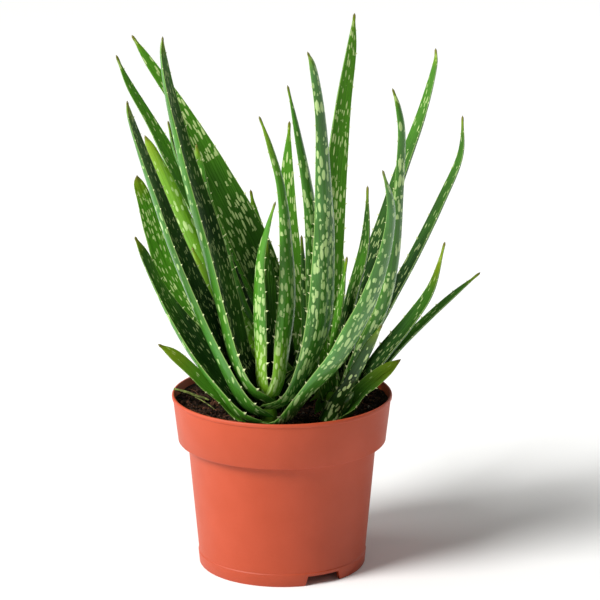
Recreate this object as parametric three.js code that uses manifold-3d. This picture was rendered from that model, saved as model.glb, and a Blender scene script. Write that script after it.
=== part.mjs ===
// A potted aloe: a thin plastic nursery pot filled with soil, and three young aloe plants.
// Each plant has a short stem that stands in a plain hole in the soil, and its leaves clasp
// that stem. Every leaf is a solid of its own, with its marginal teeth fused to it.
// Millimetres, +Z up. The origin is the middle of the pot's underside, where it stands.

import * as THREE from 'three';
import { mergeVertices } from 'three/addons/utils/BufferGeometryUtils.js';
import Module from 'manifold-3d';

const wasm = await Module();
wasm.setup();

// ---------- driving dimensions ----------

const GAP = 0.3; // clearance between pieces that touch

const POT = {
	height: 96,
	rimRadius: 60,
	collarBottomRadius: 56.7,
	collarBottomZ: 70,
	bodyTopRadius: 51.5,
	baseRadius: 45.6,
	wall: 1.4,
	seamZ: 7,
	seamStep: 0.35,
	channelHeight: 5.5,
	footRingWidth: 2.2,
	centreDiscRadius: 18,
	drainHoleRadius: 4,
	drainHoleCircle: 31,
	drainHoles: 6,
	notchWidth: 22,
	notchTopWidth: 19,
	notchHeight: 5.4,
	notchAngles: [ - 60, 120 ],
	segments: 36
};

const SOIL = {
	edgeZ: 92,
	dish: 8,
	relief: 0.5,
	rings: 5
};

const STEM = {
	rootZ: 72,
	bottomRadius: 4.6,
	topRadius: 3.2,
	sides: 10
};

const LEAF = {
	sheathThickness: 1.8, // where the leaf clasps the stem
	thicknessShare: 0.5, // flesh thickness for each mm of half width
	maxThickness: 5.6,
	bladeBend: 0.75, // half angle of the section's arc along the blade, radians
	tipBend: 0.45,
	tipRadius: 0.9, // blunts the tip
	cutClear: 0.45, // how much a leaf is swelled before the leaves outside it are cut clear of it
	sheathLength: 5, // over this the sheath opens into the blade
	footLength: 6, // over this the foot turns from level to square with the leaf
	turnShare: 0.3, // share of the length over which the leaf turns to its own facing
	toothPitch: 38,
	toothHeight: 1.7,
	toothLength: 2.6,
	toothHook: 0.9,
	firstTooth: 22,
	lastTooth: 12,
	smoothing: 0.01 // how far a cut's corners may move to clear away its slivers
};

// Each plant: its stem's place and the height its stem ends at.
const PLANTS = {
	front: { x: - 7, y: - 20, topZ: 104 },
	back: { x: 8, y: 22, topZ: 104 },
	right: { x: 27, y: - 18, topZ: 101.5 }
};

// Each leaf, innermost first in its plant: the height where it leaves the stem, the radius of
// its sheath round the stem, the way its inner face looks at the stem and along the blade
// (degrees from +X, towards +Y) with the blade's fold if it is a strong one, its half width at
// the stem, and the points of its middle line as [x, y, z, half width], tip last.
const LEAVES = [
	{ name: 'front_leaf_1', plant: 'front', z: 102, reach: 4.4, faces: [ 0, 25 ], half: 9, points: [
		[ - 12, - 21, 124, 6.4 ], [ - 12.5, - 23, 153, 6 ], [ - 11.5, - 25, 177, 3.9 ],
		[ - 7.5, - 26, 194, 2.3 ], [ - 3, - 27, 209, 0 ] ] },
	{ name: 'front_leaf_2', plant: 'front', z: 101, reach: 4.9, faces: [ 180, 150 ], half: 10, points: [
		[ 1, - 17, 124, 8.8 ], [ 4, - 15, 152, 7.8 ], [ 3, - 13, 185, 5.4 ], [ 0, - 11, 213, 3.5 ],
		[ - 6, - 10, 235, 2.3 ], [ - 12, - 8, 251, 0 ] ] },
	{ name: 'front_leaf_3', plant: 'front', z: 100, reach: 5.4, faces: [ - 60, - 60 ], half: 7.5, points: [
		[ - 6, - 7, 126.5, 6 ], [ - 7, - 5, 156, 4.4 ], [ - 8, - 3, 184, 0 ] ] },
	{ name: 'front_leaf_4', plant: 'front', z: 98, reach: 6.4, faces: [ - 12, - 28, 1.15 ], half: 16, points: [
		[ - 24, - 20, 118, 12.6 ], [ - 32, - 15, 152, 11 ], [ - 41.3, - 9, 188, 10.4 ],
		[ - 52, - 4, 226, 7.4 ], [ - 59.4, 1, 258, 5 ], [ - 63, 5, 281, 2.9 ], [ - 63, 7, 291, 0 ] ] },
	{ name: 'front_leaf_5', plant: 'front', z: 95, reach: 8.2, faces: [ 180, 145 ], half: 20, points: [
		[ 11, - 25, 113, 11.4 ], [ 22, - 28, 142, 12 ], [ 24, - 32, 188, 9 ], [ 23, - 36, 222, 6.6 ],
		[ 21, - 40, 256, 4.2 ], [ 17, - 43, 282, 2.8 ], [ 13.5, - 44, 292, 0 ] ] },
	{ name: 'front_leaf_6', plant: 'front', z: 91, reach: 10, faces: [ - 10, - 24, 1.15 ], half: 21, points: [
		[ - 28, - 21, 113.2, 13.4 ], [ - 43, - 20, 147.9, 10 ], [ - 56.5, - 23, 182.6, 7.8 ],
		[ - 66.8, - 28, 214.6, 5.8 ], [ - 74.4, - 31, 239.6, 4 ], [ - 79, - 34, 256.6, 2.4 ],
		[ - 80, - 35, 264.6, 0 ] ] },
	{ name: 'front_leaf_7', plant: 'front', z: 88.2, reach: 11.4, faces: [ 165, 150 ], half: 25, points: [
		[ 10, - 32, 101, 9.4 ], [ 28, - 39, 123, 9.2 ], [ 39, - 44, 143, 10 ], [ 48, - 49, 164, 8.4 ],
		[ 55, - 55, 190, 5.8 ], [ 57, - 62, 214, 3.6 ], [ 52, - 68, 235, 0 ] ] },
	{ name: 'front_leaf_8', plant: 'front', z: 86.9, reach: 12.4, faces: [ - 10, - 36, 1.05 ], half: 24, points: [
		[ - 30.5, - 21, 105.2, 12.4 ], [ - 44.5, - 20, 125, 10.4 ], [ - 56, - 22, 143, 7 ],
		[ - 65.2, - 26, 161.4, 4 ], [ - 72.4, - 31, 180.2, 3.2 ], [ - 77, - 36, 192.2, 0 ] ] },
	{ name: 'front_leaf_9', plant: 'front', z: 87.4, reach: 13.2, faces: [ - 20, - 40 ], half: 12, points: [
		[ - 31, - 24, 99, 4.4 ], [ - 41, - 27, 108.4, 3.9 ], [ - 49, - 30, 117.8, 3.7 ],
		[ - 57.5, - 34, 127, 3.2 ], [ - 65.5, - 38, 134, 0 ] ] },

	{ name: 'back_leaf_1', plant: 'back', z: 102, reach: 4.4, faces: [ 150, 130 ], half: 8, points: [
		[ 14, 23, 120.7, 4 ], [ 13, 24, 146.7, 3.2 ], [ 10.5, 23, 178.7, 0 ] ] },
	{ name: 'back_leaf_2', plant: 'back', z: 101, reach: 4.9, faces: [ 0, - 50 ], half: 9, points: [
		[ - 1, 21, 124, 6 ], [ - 7, 22, 148, 5.6 ], [ - 12, 24, 172, 0 ] ] },
	{ name: 'back_leaf_3', plant: 'back', z: 100, reach: 5.4, faces: [ - 90, - 100 ], half: 9.5, points: [
		[ 12, 34, 118, 6 ], [ 9, 39, 145, 6 ], [ 5, 43, 172, 5.4 ], [ 3, 47, 205, 4 ], [ 4, 52, 236, 0 ] ] },
	{ name: 'back_leaf_4', plant: 'back', z: 99, reach: 5.9, faces: [ 180, 150 ], half: 10.5, points: [
		[ 18, 16, 126, 7.2 ], [ 18, 14, 155, 6.8 ], [ 17, 13, 186, 6 ], [ 14, 13, 210, 4.6 ],
		[ 8.5, 14, 238, 2.8 ], [ 3, 16, 263, 0 ] ] },
	{ name: 'back_leaf_5', plant: 'back', z: 98, reach: 6.4, faces: [ 20, 40 ], half: 11.5, points: [
		[ - 19, 18, 126, 8.2 ], [ - 30, 19, 152, 8.4 ], [ - 36, 19, 174, 8 ], [ - 42, 18, 196, 6.6 ],
		[ - 45.4, 17, 220, 3.8 ], [ - 46, 16, 231, 0 ] ] },
	{ name: 'back_leaf_6', plant: 'back', z: 97, reach: 7, faces: [ - 56, - 65 ], half: 12.5, points: [
		[ - 1.5, 39.8, 123, 9.2 ], [ - 17, 42.8, 165, 12 ], [ - 37, 44, 206.5, 9.4 ],
		[ - 54, 46, 241, 4.8 ], [ - 73, 49, 270, 2.6 ], [ - 82, 51, 284, 0 ] ] },
	{ name: 'back_leaf_7', plant: 'back', z: 95.8, reach: 7.5, faces: [ - 10, - 20 ], half: 13.5, points: [
		[ - 15, 30, 123.2, 6.4 ], [ - 33, 34, 166, 5.8 ], [ - 47.8, 34, 199.5, 4.4 ],
		[ - 57.8, 33, 223, 3 ], [ - 62, 34, 240, 0 ] ] },
	{ name: 'back_leaf_8', plant: 'back', z: 94.4, reach: 8, faces: [ 15, 72 ], half: 14.5, points: [
		[ - 19, 13, 122, 8 ], [ - 38, 9, 156, 6.8 ], [ - 52.8, 5, 190, 5.4 ], [ - 60, 3, 208, 5 ],
		[ - 65.8, 1, 222, 3.8 ], [ - 70.5, 0, 233, 2.6 ], [ - 73, 0, 239, 0 ] ] },
	{ name: 'back_leaf_9', plant: 'back', z: 93, reach: 8.5, faces: [ - 20, - 45 ], half: 15.5, points: [
		[ - 11, 40, 122.1, 7.4 ], [ - 35.3, 48, 167.6, 8.4 ], [ - 56, 50, 203.9, 6.4 ],
		[ - 72, 50, 235.1, 3.6 ], [ - 83.6, 49, 256.4, 2.4 ], [ - 90.6, 49, 273.4, 0 ] ] },
	{ name: 'back_leaf_10', plant: 'back', z: 90.2, reach: 9.5, faces: [ - 15, - 62 ], half: 17, points: [
		[ - 20, 30, 102, 8.4 ], [ - 43, 37, 124, 9.2 ], [ - 61.4, 43, 151, 9.4 ],
		[ - 70.2, 46.5, 174, 7.4 ], [ - 76.4, 48, 193, 4.6 ], [ - 79.4, 48, 202, 3 ],
		[ - 80, 48, 206.5, 0 ] ] },
	{ name: 'back_leaf_11', plant: 'back', z: 88.8, reach: 10, faces: [ 50, 40 ], half: 16, points: [
		[ - 10, 7, 104, 5.6 ], [ - 26, - 1, 129, 5.2 ], [ - 37.5, - 6, 152, 4.8 ],
		[ - 44, - 8, 168, 3.6 ], [ - 48, - 9, 180, 0 ] ] },
	{ name: 'back_leaf_12', plant: 'back', z: 87.6, reach: 10.6, faces: [ - 75, - 70 ], half: 17, points: [
		[ 4, 46, 108, 6.6 ], [ - 6, 62, 138, 5.8 ], [ - 14, 72, 170, 3.6 ], [ - 18, 76, 192, 0 ] ] },
	{ name: 'back_leaf_13', plant: 'back', z: 86.9, reach: 11.2, faces: [ - 135, - 125 ], half: 19, points: [
		[ 23, 38, 104, 6 ], [ 30, 53, 126, 5.6 ], [ 33, 64, 146, 3.6 ], [ 33, 70, 162, 0 ] ] },

	{ name: 'right_leaf_1', plant: 'right', z: 99.6, reach: 4.4, faces: [ - 150, - 140 ], half: 8, points: [
		[ 28, - 13, 118, 3.6 ], [ 31, - 11, 145, 3 ], [ 35, - 10, 175, 0 ] ] },
	{ name: 'right_leaf_2', plant: 'right', z: 98.7, reach: 4.9, faces: [ - 130, - 140 ], half: 9, points: [
		[ 32.5, - 7, 120, 4.6 ], [ 38, - 5, 150, 4.4 ], [ 45, - 3, 180, 3.6 ], [ 46, 2, 211, 0 ] ] },
	{ name: 'right_leaf_3', plant: 'right', z: 97.5, reach: 5.4, faces: [ - 60, - 60 ], half: 9.5, points: [
		[ 25, - 4, 126, 8 ], [ 24.6, 1, 156, 8.2 ], [ 26.2, 5, 188, 8 ], [ 28.2, 9, 216, 7.2 ],
		[ 32.2, 14, 252, 5.2 ], [ 37, 19, 282, 3.2 ], [ 39, 22, 301, 0 ] ] },
	{ name: 'right_leaf_4', plant: 'right', z: 96, reach: 6, faces: [ 175, 155 ], half: 11, points: [
		[ 39, - 18, 118, 6.4 ], [ 53.5, - 21, 147, 7 ], [ 60, - 22, 176, 6.2 ], [ 62.5, - 23, 213, 4.8 ],
		[ 63.5, - 24, 243, 3.8 ], [ 61.5, - 24, 258, 2.6 ], [ 58, - 24, 269, 0 ] ] },
	{ name: 'right_leaf_5', plant: 'right', z: 94.5, reach: 6.6, faces: [ - 120, - 140 ], half: 12, points: [
		[ 35, - 1, 118, 6.8 ], [ 42, 6, 150, 6.2 ], [ 55, 14, 184, 5.8 ], [ 65.3, 23, 214, 5 ],
		[ 76, 32, 243, 3.8 ], [ 83, 41, 268, 2 ], [ 83.5, 44, 278, 0 ] ] },
	{ name: 'right_leaf_6', plant: 'right', z: 93, reach: 7.2, faces: [ - 160, - 145 ], half: 13, points: [
		[ 44, - 8, 120, 5 ], [ 58.5, - 3, 148, 4.6 ], [ 72.5, 3, 173, 4.2 ], [ 86.5, 10, 201, 3.6 ],
		[ 96.4, 17, 224, 2.6 ], [ 97.5, 23, 245, 0 ] ] },
	{ name: 'right_leaf_7', plant: 'right', z: 91.4, reach: 7.8, faces: [ 175, - 150 ], half: 14, points: [
		[ 42, - 16, 104, 6 ], [ 55, - 18, 123, 5.4 ], [ 69, - 21, 142, 4.6 ], [ 80, - 24, 161, 3.3 ],
		[ 86.5, - 26, 187, 0 ] ] },
	{ name: 'right_leaf_8', plant: 'right', z: 90, reach: 8.4, faces: [ - 165, - 150 ], half: 13, points: [
		[ 47, - 9, 103, 3.8 ], [ 62, - 4, 121, 3.4 ], [ 79, 2, 137, 3 ], [ 94, 8, 149.5, 2.3 ],
		[ 108, 14, 160, 0 ] ] },
	{ name: 'right_leaf_9', plant: 'right', z: 87.8, reach: 9, faces: [ 80, 120 ], half: 7, points: [
		[ 29.5, - 28.5, 98.5, 4.6 ], [ 35.6, - 31, 109, 4.4 ], [ 41.5, - 35, 121, 4 ],
		[ 47, - 40, 134, 3.3 ], [ 53, - 46, 147, 0 ] ] },
	{ name: 'right_leaf_10', plant: 'right', z: 88.2, reach: 9.4, faces: [ 165, - 130 ], half: 10, points: [
		[ 40.5, - 22.5, 101, 4.6 ], [ 49.5, - 24, 110, 4.6 ], [ 57.5, - 24, 116.7, 3.4 ],
		[ 64, - 23, 121.4, 0 ] ] },
	{ name: 'right_leaf_11', plant: 'right', z: 88.6, reach: 9.6, faces: [ - 105, - 110 ], half: 16, points: [
		[ 38, 4, 104, 5.6 ], [ 45, 20, 126, 5 ], [ 50, 34, 150, 3.2 ], [ 51, 42, 168, 0 ] ] }
];

const COLOURS = {
	pot: { color: 0xc4583a, roughness: 0.55, metalness: 0 },
	soil: { color: 0x1f1610, roughness: 1, metalness: 0 },
	stem: { color: 0x93a84a, roughness: 0.7, metalness: 0 },
	leaf: { color: 0x3c6d1d, roughness: 0.42, metalness: 0 }
};

// ---------- solids ----------

const UP = new THREE.Vector3( 0, 0, 1 );
const radians = THREE.MathUtils.degToRad;
const mix = THREE.MathUtils.lerp;
const easeInOut = THREE.MathUtils.smoothstep;

// A closed solid from a geometry whose faces point out.
function solidOf( geometry ) {

	const bare = geometry.clone();
	bare.deleteAttribute( 'normal' );
	bare.deleteAttribute( 'uv' );
	const merged = mergeVertices( bare, 1e-3 );
	return new wasm.Manifold( new wasm.Mesh( {
		numProp: 3,
		vertProperties: new Float32Array( merged.attributes.position.array ),
		triVerts: new Uint32Array( merged.index.array )
	} ) );

}

// The largest body of a solid, so that no loose scrap of a cut stays behind.
function largestBody( solid ) {

	return solid.decompose().sort( ( a, b ) => b.volume() - a.volume() )[ 0 ];

}

function meshOf( name, solid, finish ) {

	const { numProp, vertProperties, triVerts } = solid.getMesh();
	const corners = [];
	for ( let i = 0; i < vertProperties.length; i += numProp ) {

		corners.push( vertProperties[ i ], vertProperties[ i + 1 ], vertProperties[ i + 2 ] );

	}

	const geometry = new THREE.BufferGeometry();
	geometry.setAttribute( 'position', new THREE.Float32BufferAttribute( corners, 3 ) );
	geometry.setIndex( Array.from( triVerts ) );
	geometry.computeVertexNormals();
	const mesh = new THREE.Mesh( geometry, new THREE.MeshStandardMaterial( finish ) );
	mesh.name = name;
	return mesh;

}

// A turned solid about Z from its outline of [radius, height] pairs.
function turned( outline, segments ) {

	const points = outline.map( ( [ r, z ] ) => new THREE.Vector2( r, z ) );
	return new THREE.LatheGeometry( points, segments ).rotateX( Math.PI / 2 );

}

// ---------- pot ----------

function collarRadiusAt( z ) {

	const share = ( z - POT.collarBottomZ ) / ( POT.height - POT.collarBottomZ );
	return mix( POT.collarBottomRadius, POT.rimRadius, share );

}

function bodyRadiusAt( z ) {

	return mix( POT.baseRadius, POT.bodyTopRadius, z / POT.collarBottomZ );

}

// The pot's outline: centre disc, drainage channel, foot ring, outside, lip and inside.
function potOutline() {

	const { height, wall, collarBottomZ, seamZ, seamStep, channelHeight } = POT;
	const ringInside = POT.baseRadius - POT.footRingWidth;
	const discEdge = POT.centreDiscRadius;
	const innerFloor = channelHeight + wall;
	const innerShelf = collarBottomZ + wall;
	return [
		[ 0, 0 ], [ discEdge, 0 ], [ discEdge + 2, channelHeight ], [ ringInside - 1, channelHeight ],
		[ ringInside, 0 ], [ POT.baseRadius - 0.4, 0 ], [ POT.baseRadius, 0.6 ],
		[ bodyRadiusAt( seamZ ), seamZ ], [ bodyRadiusAt( seamZ ) - seamStep, seamZ + 0.4 ],
		[ POT.bodyTopRadius, collarBottomZ ], [ POT.collarBottomRadius - 0.3, collarBottomZ ],
		[ POT.collarBottomRadius, collarBottomZ + 0.4 ], [ collarRadiusAt( height - 2.5 ), height - 2.5 ],
		[ POT.rimRadius, height - 1.8 ], [ POT.rimRadius, height - 0.7 ], [ POT.rimRadius - 0.5, height ],
		[ POT.rimRadius - 1.3, height ], [ collarRadiusAt( height ) - wall, height - 1 ],
		[ collarRadiusAt( innerShelf ) - wall, innerShelf + 0.4 ],
		[ bodyRadiusAt( innerShelf ) - wall, innerShelf ], [ bodyRadiusAt( innerFloor ) - wall, innerFloor ],
		[ discEdge + 2 + wall, innerFloor ], [ discEdge + wall - 1, wall ], [ 0, wall ]
	];

}

// A notch through the foot ring, wider at the ground.
function footNotch( angle ) {

	const shape = new THREE.Shape();
	shape.moveTo( - POT.notchWidth / 2, - 1 );
	shape.lineTo( POT.notchWidth / 2, - 1 );
	shape.lineTo( POT.notchTopWidth / 2, POT.notchHeight );
	shape.lineTo( - POT.notchTopWidth / 2, POT.notchHeight );
	shape.closePath();
	const cutter = new THREE.ExtrudeGeometry( shape, { depth: 12, bevelEnabled: false } );
	cutter.rotateX( Math.PI / 2 ).rotateZ( Math.PI / 2 );
	cutter.translate( POT.baseRadius - 8, 0, 0 ).rotateZ( radians( angle ) );
	return solidOf( cutter );

}

function drainHole( index ) {

	const turn = ( index + 0.5 ) / POT.drainHoles * Math.PI * 2;
	const cutter = new THREE.CylinderGeometry( POT.drainHoleRadius, POT.drainHoleRadius, 6, 12 );
	cutter.rotateX( Math.PI / 2 );
	cutter.translate( Math.cos( turn ) * POT.drainHoleCircle, Math.sin( turn ) * POT.drainHoleCircle,
		POT.channelHeight + POT.wall / 2 );
	return solidOf( cutter );

}

function potSolid() {

	let pot = solidOf( turned( potOutline(), POT.segments ) );
	for ( const angle of POT.notchAngles ) pot = pot.subtract( footNotch( angle ) );
	for ( let i = 0; i < POT.drainHoles; i ++ ) pot = pot.subtract( drainHole( i ) );
	return largestBody( pot );

}

// ---------- soil ----------

// The soil's height at a place: lower round the plants than at the pot's wall, and uneven.
function soilHeight( x, y ) {

	const edge = collarRadiusAt( SOIL.edgeZ ) - POT.wall - GAP;
	const share = Math.min( 1, Math.hypot( x, y ) / edge );
	const waves = Math.sin( x * 0.21 + 1.3 ) * Math.cos( y * 0.17 - 0.4 ) +
		0.6 * Math.sin( x * 0.43 - y * 0.37 + 2.1 );
	return SOIL.edgeZ - SOIL.dish * ( 1 - share ** 3 ) + SOIL.relief * waves;

}

function soilSolid() {

	const innerFloor = POT.channelHeight + POT.wall + GAP;
	const innerShelf = POT.collarBottomZ + POT.wall;
	const inset = POT.wall + GAP;
	const edge = collarRadiusAt( SOIL.edgeZ ) - inset;
	const outline = [
		[ 0, POT.wall + GAP ], [ POT.centreDiscRadius - 0.2, POT.wall + GAP ],
		[ POT.centreDiscRadius + 2 + POT.wall, innerFloor ], [ bodyRadiusAt( innerFloor ) - inset, innerFloor ],
		[ bodyRadiusAt( innerShelf ) - inset, innerShelf + GAP ],
		[ collarRadiusAt( innerShelf ) - inset, innerShelf + 0.4 + GAP ], [ edge, SOIL.edgeZ ]
	];
	for ( let i = SOIL.rings - 1; i >= 0; i -- ) outline.push( [ edge * i / SOIL.rings, SOIL.edgeZ + 1 ] );
	const body = turned( outline, POT.segments );
	const place = body.attributes.position;
	for ( let i = 0; i < place.count; i ++ ) {

		if ( place.getZ( i ) < SOIL.edgeZ - 0.01 ) continue;
		place.setZ( i, soilHeight( place.getX( i ), place.getY( i ) ) );

	}

	let soil = solidOf( body );
	for ( const plant of Object.values( PLANTS ) ) soil = soil.subtract( stemSolid( plant, GAP ) );
	return largestBody( soil );

}

// ---------- stems ----------

// A short tapered stem, swelled by the given amount all round.
function stemSolid( plant, swell ) {

	const outline = [
		[ 0, STEM.rootZ - swell ], [ STEM.bottomRadius * 0.7 + swell, STEM.rootZ - swell ],
		[ STEM.bottomRadius + swell, STEM.rootZ + 4 ], [ STEM.bottomRadius + swell, 90 ],
		[ STEM.topRadius + swell, plant.topZ - 2 ], [ STEM.topRadius * 0.6 + swell, plant.topZ + swell ],
		[ 0, plant.topZ + swell ]
	];
	return solidOf( turned( outline, STEM.sides ).translate( plant.x, plant.y, 0 ) );

}

// ---------- leaves ----------

// A horizontal direction from its angle in degrees.
function heading( degrees ) {

	return new THREE.Vector3( Math.cos( radians( degrees ) ), Math.sin( radians( degrees ) ), 0 );

}

// The leaf's control points as [x, y, z, half width], from its seat on the stem to its tip.
function leafControls( leaf ) {

	const plant = PLANTS[ leaf.plant ];
	const inward = heading( leaf.faces[ 0 ] );
	const seat = [ plant.x - inward.x * leaf.reach, plant.y - inward.y * leaf.reach, leaf.z, leaf.half ];
	return [ seat, ...leaf.points ];

}

// A smooth value through four neighbours, at share t between the middle two.
function throughFour( a, b, c, d, t ) {

	return b + 0.5 * t * ( c - a + t * ( 2 * a - 5 * b + 4 * c - d + t * ( 3 * ( b - c ) + d - a ) ) );

}

// The leaf's middle line in small even steps: place, half width and distance from the stem.
function leafLine( leaf ) {

	const controls = leafControls( leaf );
	const last = controls.length - 1;
	const perSpan = 24;
	const line = [];
	let travelled = 0;
	for ( let step = 0; step <= last * perSpan; step ++ ) {

		const span = Math.min( Math.floor( step / perSpan ), last - 1 );
		const t = step / perSpan - span;
		const from = controls[ span ];
		const to = controls[ span + 1 ];
		const before = controls[ span - 1 ] ?? from.map( ( v, k ) => 2 * v - to[ k ] );
		const after = controls[ span + 2 ] ?? to.map( ( v, k ) => 2 * v - from[ k ] );
		const [ x, y, z, half ] = from.map( ( v, k ) => throughFour( before[ k ], v, to[ k ], after[ k ], t ) );
		const place = new THREE.Vector3( x, y, z );
		if ( line.length ) travelled += place.distanceTo( line[ line.length - 1 ].place );
		line.push( { place, half, travelled } );

	}

	return line;

}

// The leaf's frame at a distance along its middle line.
function leafFrame( leaf, line, distance ) {

	const total = line[ line.length - 1 ].travelled;
	let i = 1;
	while ( i < line.length - 1 && line[ i ].travelled < distance ) i ++;
	const low = line[ i - 1 ];
	const high = line[ i ];
	const share = ( distance - low.travelled ) / ( high.travelled - low.travelled );
	const place = low.place.clone().lerp( high.place, share );
	const along = high.place.clone().sub( low.place ).normalize();
	along.lerp( UP, Math.exp( - distance / LEAF.footLength ) ).normalize();
	const turn = easeInOut( distance / total, 0, LEAF.turnShare );
	const inner = heading( turnedAngle( leaf.faces, turn ) );
	inner.addScaledVector( along, - inner.dot( along ) ).normalize();
	const side = along.clone().cross( inner );
	const left = Math.max( 0, total - distance );
	const blunt = LEAF.tipRadius * Math.sqrt( Math.min( 1, left / ( 2 * LEAF.tipRadius ) ) );
	const half = Math.max( blunt, mix( low.half, high.half, share ) );
	const fold = leaf.faces[ 2 ] ?? LEAF.bladeBend;
	return { place, along, inner, side, half, distance, left, fold, wrap: leaf.half / leaf.reach };

}

// The angle part of the way from one to the other, the short way round.
function turnedAngle( [ from, to ], share ) {

	const span = ( ( to - from + 540 ) % 360 ) - 180;
	return from + span * share;

}

// One section of a leaf: eight points round a bent lens, margins first and fifth.
function leafSection( frame, tooth ) {

	const half = frame.half;
	const sheath = Math.exp( - frame.distance / LEAF.sheathLength );
	const nearTip = 1 - easeInOut( frame.left, 0, 60 );
	const bend = mix( mix( frame.fold, LEAF.tipBend, nearTip ), frame.wrap, sheath );
	const flesh = Math.min( LEAF.maxThickness, half * LEAF.thicknessShare + 0.9 );
	const thick = mix( flesh, LEAF.sheathThickness, sheath );
	const radius = half / bend;
	const ring = [];
	const lens = [ [ - 1, 0 ], [ - 0.55, - 0.4 ], [ 0, - 0.55 ], [ 0.55, - 0.4 ], [ 1, 0 ],
		[ 0.55, 0.32 ], [ 0, 0.42 ], [ - 0.55, 0.32 ] ];
	for ( const [ across, off ] of lens ) {

		const isMargin = Math.abs( across ) === 1;
		const angle = across * ( isMargin ? half + tooth : half ) / radius;
		const lift = radius - off * thick;
		const point = frame.place.clone();
		point.addScaledVector( frame.side, Math.sin( angle ) * lift );
		point.addScaledVector( frame.inner, radius - Math.cos( angle ) * lift );
		if ( isMargin && tooth > 0 ) point.addScaledVector( frame.along, LEAF.toothHook );
		ring.push( point );

	}

	return ring;

}

// A section with each of its sides moved out by the given amount, within its own plane.
function grownSection( ring, along, grow ) {

	return ring.map( ( point, i ) => {

		const before = ring[ ( i + ring.length - 1 ) % ring.length ];
		const after = ring[ ( i + 1 ) % ring.length ];
		const first = along.clone().cross( point.clone().sub( before ) ).normalize();
		const second = along.clone().cross( after.clone().sub( point ) ).normalize();
		const middle = first.clone().add( second ).normalize();
		return point.clone().addScaledVector( middle, grow / Math.max( middle.dot( first ), 0.28 ) );

	} );

}

// The distances of a leaf's sections, each with the height of the tooth there.
function leafStations( total, grow ) {

	const stations = [ 0, 0.08, 0.2, 0.4, 0.66 ].map( ( share ) => [ share * LEAF.firstTooth, 0 ] );
	const span = total - LEAF.firstTooth - LEAF.lastTooth;
	const teeth = Math.max( 2, Math.round( span / LEAF.toothPitch ) );
	for ( let i = 0; i <= teeth; i ++ ) {

		const at = LEAF.firstTooth + span * i / teeth;
		const height = LEAF.toothHeight * mix( 1, 0.55, i / teeth );
		stations.push( [ at - LEAF.toothLength * 0.55 - grow, 0 ] );
		stations.push( [ at, height ] );
		stations.push( [ at + LEAF.toothLength * 0.45 + grow, 0 ] );

	}

	stations.push( [ total - 4, 0 ] );
	return stations;

}

// A leaf's solid, swelled by the given amount so that its neighbours can be cut clear of it.
function leafSolid( leaf, grow ) {

	const line = leafLine( leaf );
	const total = line[ line.length - 1 ].travelled;
	const rings = leafStations( total, grow ).map( ( [ at, tooth ] ) => {

		const frame = leafFrame( leaf, line, at );
		return grownSection( leafSection( frame, tooth ), frame.along, grow );

	} );
	const around = rings[ 0 ].length;
	const tip = line[ line.length - 1 ].place.clone();
	if ( grow > 0 ) {

		const first = leafFrame( leaf, line, 0 );
		rings.unshift( rings[ 0 ].map( ( p ) => p.clone().addScaledVector( first.along, - grow ) ) );
		tip.addScaledVector( leafFrame( leaf, line, total - 0.01 ).along, grow * 2 );

	}

	const corners = rings.flat();
	const faces = [];
	for ( let r = 0; r < rings.length - 1; r ++ ) {

		for ( let k = 0; k < around; k ++ ) {

			// Each side's diagonals rise to its margin, so that the thin edge keeps its thickness.
			const a = r * around + k;
			const b = r * around + ( k + 1 ) % around;
			if ( k % 4 < 2 ) faces.push( a, a + around, b, b, a + around, b + around );
			else faces.push( a, b + around, b, a, a + around, b + around );

		}

	}

	const lastRing = ( rings.length - 1 ) * around;
	const tipCorner = corners.push( tip ) - 1;
	for ( let k = 0; k < around; k ++ ) faces.push( lastRing + k, tipCorner, lastRing + ( k + 1 ) % around );
	// The foot: strips between the outer and the inner row of points.
	const strips = [ [ 0, 1, 7 ], [ 1, 6, 7 ], [ 1, 2, 6 ], [ 2, 3, 6 ], [ 3, 5, 6 ], [ 3, 4, 5 ] ];
	for ( const strip of strips ) faces.push( ...strip );

	const geometry = new THREE.BufferGeometry().setFromPoints( corners );
	geometry.setIndex( faces );
	return solidOf( geometry );

}

// Every leaf, cut clear of the stems and of the leaves that lie inside it.
function leafSolids() {

	const keepClear = Object.values( PLANTS ).map( ( plant ) => stemSolid( plant, GAP ) );
	const done = [];
	for ( const leaf of LEAVES ) {

		let solid = leafSolid( leaf, 0 );
		for ( const other of keepClear ) solid = solid.subtract( other );
		solid = largestBody( solid ).asOriginal().simplify( LEAF.smoothing );
		keepClear.push( leafSolid( leaf, LEAF.cutClear ) );
		done.push( { name: leaf.name, solid } );

	}

	return done;

}

// ---------- assembly ----------

const group = new THREE.Group();
group.add( meshOf( 'pot', potSolid(), COLOURS.pot ) );
group.add( meshOf( 'soil', soilSolid(), COLOURS.soil ) );
for ( const [ name, plant ] of Object.entries( PLANTS ) ) {

	group.add( meshOf( `${ name }_stem`, stemSolid( plant, 0 ), COLOURS.stem ) );

}

for ( const { name, solid } of leafSolids() ) group.add( meshOf( name, solid, COLOURS.leaf ) );

export default group;
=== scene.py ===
"""A potted aloe: a plastic nursery pot, crumbly soil and three young aloe plants.

Metres, +Z up, the origin under the middle of the pot. Sizes in the tables are millimetres.
"""

import math
import random

import bmesh
import bpy
import numpy as np
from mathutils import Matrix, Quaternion, Vector, noise


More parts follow.
